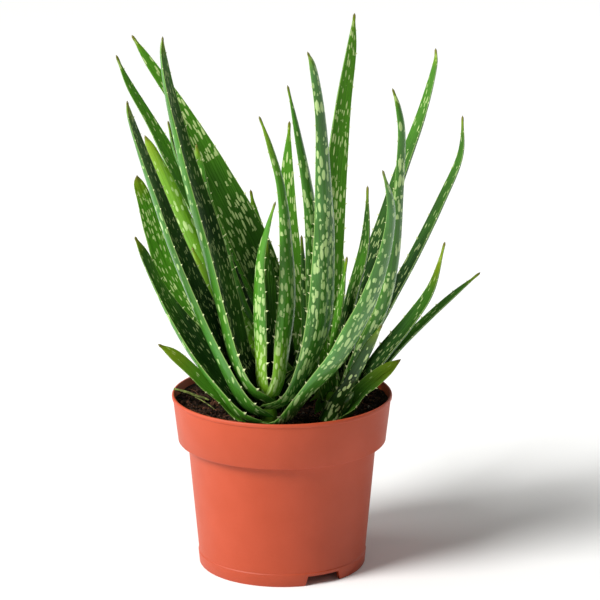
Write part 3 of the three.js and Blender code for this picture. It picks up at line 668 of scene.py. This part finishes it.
def ease(value, low, high):
    share = min(1.0, max(0.0, (value - low) / (high - low)))
    return share * share * (3 - 2 * share)


def heading(degrees):
    return Vector((math.cos(math.radians(degrees)), math.sin(math.radians(degrees)), 0))


# ---------- pot ----------


def collar_radius(z):
    return mix(COLLAR_RADIUS, RIM_RADIUS, (z - COLLAR_Z) / (RIM_Z - COLLAR_Z))


def body_radius(z):
    return mix(BASE_RADIUS, BODY_TOP_RADIUS, z / COLLAR_Z)


def pot_outline():
    """Centre disc, drainage channel, foot ring, outside, lip and inside."""
    ring_inside = BASE_RADIUS - FOOT_RING
    floor = CHANNEL_Z + WALL
    shelf = COLLAR_Z + WALL
    return [
        (0, 0), (DISC_RADIUS, 0), (DISC_RADIUS + DISC_SLOPE, CHANNEL_Z), (ring_inside - 1, CHANNEL_Z),
        (ring_inside, 0), (BASE_RADIUS - 0.4, 0), (BASE_RADIUS, 0.6),
        (body_radius(SEAM_Z), SEAM_Z), (body_radius(SEAM_Z) - SEAM_STEP, SEAM_Z + 0.4),
        (BODY_TOP_RADIUS - 0.1, COLLAR_Z - 1.2), (BODY_TOP_RADIUS + 0.5, COLLAR_Z),
        (COLLAR_RADIUS - 0.4, COLLAR_Z), (COLLAR_RADIUS, COLLAR_Z + 0.5),
        (collar_radius(RIM_Z - LIP_HEIGHT) - 0.3, RIM_Z - LIP_HEIGHT),
        *((RIM_RADIUS - inset, RIM_Z - drop) for inset, drop in LIP_OUTLINE),
        (collar_radius(RIM_Z) - WALL, RIM_Z - 0.9),
        (collar_radius(shelf) - WALL, shelf + 0.4), (body_radius(shelf) - WALL, shelf),
        (body_radius(floor) - WALL, floor), (DISC_RADIUS + DISC_SLOPE + WALL, floor),
        (DISC_RADIUS + WALL - 1, WALL), (0, WALL),
    ]


def cut_away(piece, cutter):
    apply_modifier(piece, "BOOLEAN", operation="DIFFERENCE", object=cutter, solver="EXACT")
    bpy.data.objects.remove(cutter)


def notch_cutter(angle):
    """A wedge through the foot ring, wider at the ground."""
    clear_selection()
    bpy.ops.mesh.primitive_cube_add(size=1)
    cutter = bpy.context.object
    for corner in cutter.data.vertices:
        x, y, z = corner.co
        half_width = NOTCH_HALF_WIDTH if z < 0 else NOTCH_TOP_HALF_WIDTH
        height = -1 if z < 0 else NOTCH_HEIGHT
        corner.co = (MM * (BASE_RADIUS - NOTCH_INSET + NOTCH_DEPTH * x), MM * 2 * y * half_width, MM * height)
    cutter.rotation_euler.z = math.radians(angle)
    put_in_place(cutter)
    return cutter


def build_pot(settings):
    pot = spin_outline("nursery_pot", pot_outline(), settings.sides)
    for angle in NOTCH_ANGLES:
        cut_away(pot, notch_cutter(angle))
    for hole in range(DRAIN_HOLES):
        turn = (hole + 0.5) / DRAIN_HOLES * 2 * math.pi
        x, y, z = DRAIN_CIRCLE * math.cos(turn), DRAIN_CIRCLE * math.sin(turn), CHANNEL_Z + WALL / 2
        clear_selection()
        bpy.ops.mesh.primitive_cylinder_add(
            vertices=32, radius=DRAIN_RADIUS * MM, depth=DRAIN_CUT * MM, location=(MM * x, MM * y, MM * z)
        )
        cutter = bpy.context.object
        put_in_place(cutter)
        cut_away(pot, cutter)
    tidy_mesh(pot)
    apply_modifier(pot, "BEVEL", width=settings.edge_rounding, segments=2, limit_method="ANGLE",
                   angle_limit=math.radians(38))
    smooth(pot, 35)
    hand_over(pot, plastic_finish(settings), "pot")


# ---------- soil ----------


def soil_height(x, y):
    """The soil's height in millimetres: lower round the plants than at the wall, and uneven."""
    edge = collar_radius(SOIL_EDGE_Z) - WALL - GAP
    share = min(1.0, math.hypot(x, y) / edge)
    waves = math.sin(x * 0.21 + 1.3) * math.cos(y * 0.17 - 0.4) + 0.6 * math.sin(x * 0.43 - y * 0.37 + 2.1)
    return SOIL_EDGE_Z - SOIL_DISH * (1 - share ** 3) + SOIL_RELIEF * waves


def rough_soil_height(x, y):
    """The soil's height with its small lumps."""
    lumps = noise.fractal(Vector((x * 0.35, y * 0.35, 3.0)), 0.9, 2.0, 4)
    return soil_height(x, y) + 0.55 * lumps - 0.3


def soil_bed(settings):
    """The soil's solid bed, which fills the pot up to its uneven top."""
    inset = WALL + GAP
    floor = CHANNEL_Z + WALL + GAP
    shelf = COLLAR_Z + WALL
    edge = collar_radius(SOIL_EDGE_Z) - inset
    outline = [
        (0, WALL + GAP), (DISC_RADIUS - 0.2, WALL + GAP), (DISC_RADIUS + DISC_SLOPE + WALL, floor),
        (body_radius(floor) - inset, floor), (body_radius(shelf) - inset, shelf + GAP),
        (collar_radius(shelf) - inset, shelf + 0.4 + GAP), (edge, SOIL_EDGE_Z - 2),
    ]
    outline += [(edge * i / SOIL_RINGS, SOIL_EDGE_Z) for i in range(SOIL_RINGS, -1, -1)]
    bed = spin_outline("soil_bed", outline, SOIL_SIDES)
    for corner in bed.data.vertices:
        if corner.co.z > (SOIL_EDGE_Z - 0.5) * MM:
            corner.co.z = MM * rough_soil_height(corner.co.x / MM, corner.co.y / MM)
    tidy_mesh(bed)
    smooth(bed, 80)
    peat = tuple(settings.peat)
    hand_over(bed, soil_finish("soil_peat", peat, blend(settings.bark, peat, 0.8)), "soil")


def crumb_shape(maker):
    """One rough crumb of twenty faces, about one unit across."""
    clear_selection()
    bpy.ops.mesh.primitive_ico_sphere_add(subdivisions=1, radius=0.5)
    seed = bpy.context.object
    points = np.array([v.co for v in seed.data.vertices])
    faces = [tuple(f.vertices) for f in seed.data.polygons]
    bpy.data.objects.remove(seed)
    pulls = [[maker.uniform(1 - CRUMB_PULL, 1 + CRUMB_PULL) for _ in range(3)] for _ in points]
    return points * np.array(pulls), faces


def spun_axes(maker):
    """Three square axes turned at random."""
    first = Vector([maker.gauss(0, 1) for _ in range(3)]).normalized()
    second = first.orthogonal().normalized()
    second.rotate(Quaternion(first, maker.uniform(0, 6.28)))
    return np.array([first, second, first.cross(second)])


def soil_spot(maker, reach):
    """A random place on the soil, at most reach from the pot's middle."""
    angle = maker.uniform(0, 2 * math.pi)
    radius = reach * math.sqrt(maker.random())
    return radius * math.cos(angle), radius * math.sin(angle)


def scatter_crumbs(name, maker, count, low, high, flatness):
    """Many crumbs on the soil, from low to high in size, as one mesh."""
    kinds = [crumb_shape(maker) for _ in range(CRUMB_SHAPES)]
    points, faces = [], []
    reach = collar_radius(SOIL_EDGE_Z) - WALL - 1.6
    for _ in range(count):
        shape, sides = maker.choice(kinds)
        size = low * (high / low) ** (maker.random() ** 1.8)
        x, y = soil_spot(maker, reach)
        squeeze = np.array([1, maker.uniform(0.5, 1), maker.uniform(flatness, 1)])
        z = rough_soil_height(x, y) + size * maker.uniform(0.05, 0.4)
        placed = (shape * squeeze * size) @ spun_axes(maker) + np.array([x, y, z])
        start = len(points)
        points += placed.tolist()
        faces += [tuple(start + i for i in side) for side in sides]
    return new_piece(name, points, faces)


def strand(points, faces, line, widths, thickness):
    """Adds a thin strip of rounded section along a line."""
    start = len(points)
    for i, place in enumerate(line):
        ahead = line[min(i + 1, len(line) - 1)] - line[max(i - 1, 0)]
        side = ahead.cross(UP).normalized()
        rise = side.cross(ahead).normalized()
        for turn in range(STRAND_SIDES):
            angle = turn / STRAND_SIDES * 2 * math.pi
            across = side * math.cos(angle) * widths[i] / 2
            points.append(tuple(place + across + rise * math.sin(angle) * thickness / 2))
    for i in range(len(line) - 1):
        ring = start + i * STRAND_SIDES
        for turn in range(STRAND_SIDES):
            a, b = ring + turn, ring + (turn + 1) % STRAND_SIDES
            faces.append((a, b, b + STRAND_SIDES, a + STRAND_SIDES))
    last = start + (len(line) - 1) * STRAND_SIDES
    faces.append(tuple(start + turn for turn in reversed(range(STRAND_SIDES))))
    faces.append(tuple(last + turn for turn in range(STRAND_SIDES)))


def scatter_fibres(name, maker, count):
    """Many short curled fibres on the soil, as one mesh."""
    points, faces = [], []
    reach = collar_radius(SOIL_EDGE_Z) - WALL - 4
    for _ in range(count):
        x, y = soil_spot(maker, reach)
        length = maker.uniform(2.5, 9)
        angle = maker.uniform(0, 2 * math.pi)
        curl = maker.uniform(-0.5, 0.5)
        lift = maker.uniform(0.1, 0.9)
        line = []
        for step in range(FIBRE_STEPS + 1):
            share = step / FIBRE_STEPS
            turn = angle + curl * share * 2
            px = x + math.cos(turn) * length * share
            py = y + math.sin(turn) * length * share
            if math.hypot(px, py) > reach + 2:
                px, py = x, y
            line.append(Vector((px, py, soil_height(px, py) + 0.3 + lift * math.sin(share * 3.1))))
        if (line[-1] - line[0]).length > 1:
            width = maker.uniform(0.18, 0.4)
            strand(points, faces, line, [width] * len(line), width)
    return new_piece(name, points, faces)


def blade_line(start, end, width):
    """A bowed line between two places, with its widths, for a strip of the withered blade."""
    line, widths = [], []
    for step in range(BLADE_STEPS + 1):
        share = step / BLADE_STEPS
        bow = Vector((0, 0, BLADE_ARCH * math.sin(math.pi * share)))
        line.append(Vector(start).lerp(Vector(end), share) + bow)
        widths.append(width * (0.25 + 0.75 * math.sin(math.pi * min(1, 0.08 + 0.8 * share))))
    return line, widths


def withered_blade():
    """The withered blade and its frayed fibres, as one mesh."""
    points, faces = [], []
    for start, end, width, thickness in WITHERED_STRANDS:
        line, widths = blade_line(start, end, width)
        strand(points, faces, line, widths, thickness)
    blade = new_piece("withered_blade", points, faces)
    smooth(blade, 70)
    return blade


def build_soil(settings):
    maker = random.Random(SOIL_SEED)
    soil_bed(settings)
    peat, bark, pale = tuple(settings.peat), tuple(settings.bark), tuple(settings.perlite)
    crumbs = scatter_crumbs("soil_crumbs", maker, settings.crumbs, 0.7, 3.4, 0.45)
    hand_over(crumbs, soil_finish("soil_crumb", peat, blend(bark, peat, 0.7)), "soil")
    chips = scatter_crumbs("bark_chips", maker, settings.crumbs // 14, 1.2, 4.2, 0.2)
    hand_over(chips, soil_finish("soil_bark", blend(bark, peat, 0.5), bark), "soil")
    fibres = scatter_fibres("coir_fibres", maker, settings.fibres)
    hand_over(fibres, soil_finish("soil_fibre", bark, tuple(settings.fibre)), "soil")
    grains = scatter_crumbs("perlite_grains", maker, settings.grains, 0.7, 1.9, 0.6)
    hand_over(grains, soil_finish("soil_perlite", tuple(0.6 * c for c in pale), pale), "soil")
    dull, light = colour(74, 76, 38), colour(128, 140, 72)
    hand_over(withered_blade(), soil_finish("withered_green", dull, light, 0.8), "soil")


# ---------- stems ----------


def build_stems(settings):
    """The three stems, which stand in the soil and end among the leaves."""
    finish = stem_finish(settings)
    for name, (x, y, top) in PLANTS.items():
        outline = [
            (0, STEM_ROOT_Z), (STEM_RADIUS * 0.7, STEM_ROOT_Z), (STEM_RADIUS, STEM_ROOT_Z + 4),
            (STEM_RADIUS, STEM_TAPER_Z),
            (mix(STEM_RADIUS, STEM_TOP_RADIUS, 0.5), mix(STEM_TAPER_Z, top, 0.5) - 1),
            (STEM_TOP_RADIUS, top - 2), (STEM_TOP_RADIUS * 0.6, top - 0.4), (0, top),
        ]
        stem = spin_outline(f"{name}_stem_core", outline, STEM_SIDES)
        stem.location = (MM * x, MM * y, 0)
        put_in_place(stem)
        smooth(stem, 60)
        hand_over(stem, finish, f"{name}_stem")


# ---------- leaves ----------

FOOT_LENGTH = 6
SHEATH_LENGTH = 5
SHEATH_THICKNESS = 1.8
TIP_RADIUS = 0.9
BLADE_BEND = 0.75
TIP_BEND = 0.45
TIP_BEND_LENGTH = 60
MAX_THICKNESS = 5.6
EDGE_THICKNESS = 0.9
TURN_SHARE = 0.3
SPAN_STEPS = 24
RING_CROWDING = 1.15
OUTER_BULGE = 0.55
INNER_BULGE = 0.42
BULGE_POWER = 1.5
FIRST_TOOTH = 9
LAST_TOOTH = 9
TOOTH_SIDES = 6
TOOTH_LENGTH = 0.62
TOOTH_FROM_TIP = 6
TOOTH_JITTER = 0.22
LAST_TOOTH_SHARE = 0.45
TOOTH_HEIGHTS = (0.75, 1.1)
TOOTH_HOOKS = (0.35, 0.7)

# A tooth's rings of points: height, length, thickness and lean, each as a share of its height.
TOOTH_RINGS = ((-0.5, 1.25, 0.34, -0.15), (0.05, 0.72, 0.22, 0.0), (0.5, 0.26, 0.12, 0.4))
# How much of the teeth's colour each ring and the point take.
TOOTH_TINTS = (0, 0.55, 1, 1)


class LeafLine:
    """A leaf's middle line, with its width and facing, measured from the stem."""

    def __init__(self, plant, z, reach, faces, half, points):
        self.faces = faces[:2]
        self.fold = faces[2] if len(faces) > 2 else BLADE_BEND
        self.wrap = half / reach
        x, y, _ = PLANTS[plant]
        inward = heading(faces[0])
        controls = [np.array((x - inward.x * reach, y - inward.y * reach, z, half), float)]
        controls += [np.array(p, float) for p in points]
        places = []
        last = len(controls) - 1
        for step in range(last * SPAN_STEPS + 1):
            span = min(step // SPAN_STEPS, last - 1)
            t = step / SPAN_STEPS - span
            b, c = controls[span], controls[span + 1]
            a = controls[span - 1] if span else 2 * b - c
            d = controls[span + 2] if span + 2 <= last else 2 * c - b
            places.append(b + 0.5 * t * (c - a + t * (2 * a - 5 * b + 4 * c - d + t * (3 * (b - c) + d - a))))
        self.places = np.array(places)
        steps = np.linalg.norm(np.diff(self.places[:, :3], axis=0), axis=1)
        self.travelled = np.concatenate([[0], np.cumsum(steps)])
        self.total = self.travelled[-1]

    def at(self, distance):
        """Place, directions along, inwards and sideways, and half width, at a distance from the stem."""
        i = int(np.clip(np.searchsorted(self.travelled, distance), 1, len(self.places) - 1))
        low, high = self.places[i - 1], self.places[i]
        share = (distance - self.travelled[i - 1]) / (self.travelled[i] - self.travelled[i - 1])
        value = low + (high - low) * share
        along = Vector(high[:3] - low[:3]).normalized()
        along = along.lerp(UP, math.exp(-distance / FOOT_LENGTH)).normalized()
        turn = ease(distance / self.total, 0, TURN_SHARE)
        start, end = self.faces
        inner = heading(start + ((end - start + 540) % 360 - 180) * turn)
        inner = (inner - along * inner.dot(along)).normalized()
        blunt = TIP_RADIUS * math.sqrt(min(1, max(0, self.total - distance) / (2 * TIP_RADIUS)))
        return Vector(value[:3]), along, inner, along.cross(inner), max(blunt, value[3])

    def bend_and_thickness(self, distance, half):
        """How far the section bends round, in radians at each margin, and how thick it is."""
        sheath = math.exp(-distance / SHEATH_LENGTH)
        near_tip = 1 - ease(self.total - distance, 0, TIP_BEND_LENGTH)
        bend = mix(mix(self.fold, TIP_BEND, near_tip), self.wrap, sheath)
        flesh = min(MAX_THICKNESS, half * 0.5 + EDGE_THICKNESS)
        return bend, mix(flesh, SHEATH_THICKNESS, sheath)


def section_point(line, distance, across):
    """A point in the middle of the leaf's flesh, from -1 at one margin to 1 at the other."""
    place, _, inner, side, half = line.at(distance)
    bend, _ = line.bend_and_thickness(distance, half)
    radius = half / bend
    angle = across * bend
    return place + side * math.sin(angle) * radius + inner * (radius - math.cos(angle) * radius)


def leaf_rings(line, pitch, around):
    """Rings of points from the stem to near the tip, with the distance of each."""
    count = max(10, round(line.total / pitch))
    stops = [line.total * (1 - (1 - i / count) ** RING_CROWDING) for i in range(count)]
    theta = np.arange(around) / around * 2 * math.pi
    across = -np.cos(theta)
    bulge = np.abs(np.sin(theta)) ** BULGE_POWER
    off = np.where(np.sin(theta) > 0, -OUTER_BULGE, INNER_BULGE) * bulge
    rings = []
    for distance in stops:
        place, _, inner, side, half = line.at(distance)
        bend, thick = line.bend_and_thickness(distance, half)
        radius = half / bend
        lift = radius - off * thick
        ring = (np.array(place) + np.outer(np.sin(across * bend) * lift, side)
                + np.outer(radius - np.cos(across * bend) * lift, inner))
        rings.append((distance, half, ring))
    return rings, across, np.sin(theta)


def tooth_shape(line, distance, margin, height, hook):
    """One small hooked tooth, rooted in the margin: three rings of points and a point."""
    along = line.at(distance)[1]
    root = section_point(line, distance, margin)
    inside = section_point(line, distance, margin * 0.94)
    out = (root - inside).normalized()
    flat = along.cross(out).normalized()
    points = []
    for rise, long, thin, lean in TOOTH_RINGS:
        centre = root + out * rise * height + along * hook * lean * height
        for turn in range(TOOTH_SIDES):
            angle = turn / TOOTH_SIDES * 2 * math.pi
            points.append(centre + along * math.cos(angle) * long * height * TOOTH_LENGTH
                          + flat * math.sin(angle) * thin * height)
    points.append(root + out * height + along * hook * height)
    faces = []
    for ring in (0, TOOTH_SIDES):
        for turn in range(TOOTH_SIDES):
            a, b = ring + turn, ring + (turn + 1) % TOOTH_SIDES
            faces.append((a, b, b + TOOTH_SIDES, a + TOOTH_SIDES))
    last, point = 2 * TOOTH_SIDES, 3 * TOOTH_SIDES
    faces += [(last + turn, last + (turn + 1) % TOOTH_SIDES, point) for turn in range(TOOTH_SIDES)]
    faces.append(tuple(reversed(range(TOOTH_SIDES))))
    return points, faces


class LeafMesh:
    """A leaf's points and faces in the making, with what its finish reads at each point."""

    def __init__(self, look, ripe, shift, length):
        self.look = look
        self.ripe = ripe
        self.shift = shift
        self.length = length
        self.points = []
        self.faces = []
        self.marks = {key: [] for key in ("leaf_place", "leaf_zone", "leaf_look", "leaf_wear", "leaf_ripe")}

    def add(self, point, distance, zone, tone, across=0, past_tip=0):
        """Adds a point; its zone is how near the margin, how far inside and how much of a tooth it is."""
        outside, inside, size, wax_and_sheen = self.look[2:]
        self.points.append(tuple(point))
        self.marks["leaf_place"].append((across, distance, self.shift))
        self.marks["leaf_zone"].append(zone)
        self.marks["leaf_look"].append((tone, outside, inside))
        self.marks["leaf_wear"].append((size, wax_and_sheen, self.length - distance + past_tip))
        self.marks["leaf_ripe"].append((self.ripe, 0, 0))


def leaf_faces(rings, around):
    """The faces between a leaf's rings, round its tip and over its foot."""
    faces = []
    for r in range(rings - 1):
        for k in range(around):
            a, b = r * around + k, r * around + (k + 1) % around
            faces.append((a, a + around, b + around, b))
    last, tip = (rings - 1) * around, rings * around
    faces += [(last + k, tip, last + (k + 1) % around) for k in range(around)]
    faces += [(k, k + 1, around - k - 1, around - k) for k in range(1, around // 2 - 1)]
    faces.append((0, 1, around - 1))
    faces.append((around // 2 - 1, around // 2, around // 2 + 1))
    return faces


def add_teeth(leaf, line, settings, maker):
    """Teeth on both margins, smaller toward the tip."""
    span = line.total - FIRST_TOOTH - LAST_TOOTH
    count = max(3, round(span / (settings.tooth_pitch / MM)))
    for margin in (-1, 1):
        for i in range(count + 1):
            share = (i + maker.uniform(-TOOTH_JITTER, TOOTH_JITTER)) / count
            distance = FIRST_TOOTH + span * min(1, max(0, share))
            height = settings.tooth_height / MM * mix(1, LAST_TOOTH_SHARE, share)
            height = height * maker.uniform(*TOOTH_HEIGHTS)
            shape, sides = tooth_shape(line, distance, margin, height, maker.uniform(*TOOTH_HOOKS))
            start = len(leaf.points)
            leaf.faces += [tuple(start + c for c in side) for side in sides]
            for corner, point in enumerate(shape):
                zone = (0.9, 0.5, TOOTH_TINTS[corner // TOOTH_SIDES])
                leaf.add(point, distance, zone, leaf.look[0], past_tip=TOOTH_FROM_TIP)


def build_leaf(settings, finish, plant, row, maker):
    name, z, reach, faces_at, half, middle, look = row
    line = LeafLine(plant, z, reach, faces_at, half, middle)
    around = settings.points_round
    rings, across, turn_height = leaf_rings(line, settings.ring_pitch / MM, around)
    leaf = LeafMesh(look, RIPE_LENGTHS.get(name, RIPE_LENGTH), maker.uniform(0, 90), line.total)
    # Inner faces take the inside tone: partly the leaf's darker inner green, partly painted shade.
    tone, inside_tone_and_shade = look[:2]
    for distance, half_here, ring in rings:
        for point, a, s in zip(ring, across, turn_height):
            inner = 0.5 - 0.5 * max(-1, min(1, s * 4))
            leaf.add(point, distance, (abs(a), inner, 0), mix(tone, inside_tone_and_shade, inner), a * half_here)
    leaf.add(line.places[-1][:3], line.total, (0, 0.5, 0), tone)
    leaf.faces = leaf_faces(len(rings), around)
    add_teeth(leaf, line, settings, maker)

    piece = new_piece(f"{name}_flesh", leaf.points, leaf.faces)
    for key, values in leaf.marks.items():
        layer = piece.data.attributes.new(key, "FLOAT_VECTOR", "POINT")
        layer.data.foreach_set("vector", np.array(values, np.float32).ravel())
    tidy_mesh(piece, join=False)
    smooth(piece, 50)
    hand_over(piece, finish, name)


def build_plant(settings, plant):
    finish = bpy.data.materials.get("aloe_leaf") or leaf_finish(settings)
    rows, seed = GROWTH[plant]
    maker = random.Random(seed)
    for row in rows:
        build_leaf(settings, finish, plant, row, maker)


# ---------- stage ----------


def aim(thing, target):
    thing.rotation_euler = (Vector(target) - thing.location).to_track_quat("-Z", "Y").to_euler()


def add_light(name, kind, place, target, **settings):
    """A light at a place and aimed at a target, both in metres."""
    light = bpy.data.lights.new(name, kind)
    for key, value in settings.items():
        setattr(light, key, value)
    lamp = bpy.data.objects.new(name, light)
    lamp.location = place
    bpy.context.scene.collection.objects.link(lamp)
    aim(lamp, target)


def build_stage(settings):
    scene = bpy.context.scene
    clear_selection()
    bpy.ops.mesh.primitive_plane_add(size=FLOOR_SIZE)
    floor = bpy.context.object
    floor.name = "studio_floor"
    finish = Recipe("studio_floor").finish(
        Base_Color=tuple(settings.floor), Roughness=0.9, Specular_IOR_Level=0.1
    )
    floor.data.materials.append(finish)

    world = bpy.data.worlds.new("studio")
    world.use_nodes = True
    backdrop = world.node_tree.nodes["Background"]
    backdrop.inputs["Color"].default_value = (1, 1, 1, 1)
    backdrop.inputs["Strength"].default_value = settings.sky
    scene.world = world

    add_light("key", "SUN", SUN_PLACE, SUN_TARGET, energy=settings.key, angle=math.radians(SUN_ANGLE))
    for name, place, power, width in SOFTBOXES:
        add_light(name, "AREA", place, SOFTBOX_TARGET, energy=power, shape="RECTANGLE", size=width,
                  size_y=SOFTBOX_HEIGHT)

    target = Vector([MM * c for c in LOOK_AT])
    tilt = math.radians(CAMERA_ELEVATION)
    lens = bpy.data.cameras.new("camera")
    lens.lens = CAMERA_LENS
    lens.sensor_width = SENSOR_WIDTH
    camera = bpy.data.objects.new("camera", lens)
    camera.location = target + Vector((0, -math.cos(tilt), math.sin(tilt))) * CAMERA_DISTANCE * MM
    scene.collection.objects.link(camera)
    aim(camera, target)
    scene.camera = camera
    scene.view_settings.view_transform = "Standard"


# ---------- operators and panel ----------


class ALOE_OT_pot(bpy.types.Operator):
    """Build the nursery pot"""

    bl_idname = "aloe.pot"
    bl_label = "Pot"

    def execute(self, context):
        build_pot(context.scene.aloe_pot)
        return {"FINISHED"}


class ALOE_OT_soil(bpy.types.Operator):
    """Fill the pot with soil and scatter its crumbs"""

    bl_idname = "aloe.soil"
    bl_label = "Soil"

    def execute(self, context):
        build_soil(context.scene.aloe_soil)
        return {"FINISHED"}


class ALOE_OT_stems(bpy.types.Operator):
    """Stand the three stems in the soil"""

    bl_idname = "aloe.stems"
    bl_label = "Stems"

    def execute(self, context):
        build_stems(context.scene.aloe_leaf)
        return {"FINISHED"}


class ALOE_OT_front_leaves(bpy.types.Operator):
    """Grow the leaves of the front plant"""

    bl_idname = "aloe.front_leaves"
    bl_label = "Front leaves"

    def execute(self, context):
        build_plant(context.scene.aloe_leaf, "front")
        return {"FINISHED"}


class ALOE_OT_back_leaves(bpy.types.Operator):
    """Grow the leaves of the back plant"""

    bl_idname = "aloe.back_leaves"
    bl_label = "Back leaves"

    def execute(self, context):
        build_plant(context.scene.aloe_leaf, "back")
        return {"FINISHED"}


class ALOE_OT_right_leaves(bpy.types.Operator):
    """Grow the leaves of the right plant"""

    bl_idname = "aloe.right_leaves"
    bl_label = "Right leaves"

    def execute(self, context):
        build_plant(context.scene.aloe_leaf, "right")
        return {"FINISHED"}


class ALOE_OT_stage(bpy.types.Operator):
    """Set the floor, the lights and the camera"""

    bl_idname = "aloe.stage"
    bl_label = "Stage"

    def execute(self, context):
        build_stage(context.scene.aloe_stage)
        return {"FINISHED"}


OPERATORS = (
    ALOE_OT_pot, ALOE_OT_soil, ALOE_OT_stems, ALOE_OT_front_leaves, ALOE_OT_back_leaves,
    ALOE_OT_right_leaves, ALOE_OT_stage,
)


class ALOE_PT_panel(bpy.types.Panel):
    """Sizes, colours and build steps of the potted aloe"""

    bl_idname = "ALOE_PT_panel"
    bl_label = "Potted aloe"
    bl_space_type = "VIEW_3D"
    bl_region_type = "UI"
    bl_category = "Potted aloe"

    def draw(self, context):
        for key, group in SETTINGS.items():
            box = self.layout.box()
            box.label(text=group.__doc__)
            for name in group.__annotations__:
                box.prop(getattr(context.scene, key), name)
        for operator in OPERATORS:
            self.layout.operator(operator.bl_idname)


def register():
    for group in (*SETTINGS.values(), *OPERATORS, ALOE_PT_panel):
        bpy.utils.register_class(group)
    for key, group in SETTINGS.items():
        setattr(bpy.types.Scene, key, bpy.props.PointerProperty(type=group))


def unregister():
    for key in SETTINGS:
        delattr(bpy.types.Scene, key)
    for group in reversed((*SETTINGS.values(), *OPERATORS, ALOE_PT_panel)):
        bpy.utils.unregister_class(group)


def main():
    register()
    bpy.ops.aloe.pot()
    bpy.ops.aloe.soil()
    bpy.ops.aloe.stems()
    bpy.ops.aloe.front_leaves()
    bpy.ops.aloe.back_leaves()
    bpy.ops.aloe.right_leaves()
    bpy.ops.aloe.stage()


if __name__ == "__main__":
    main()
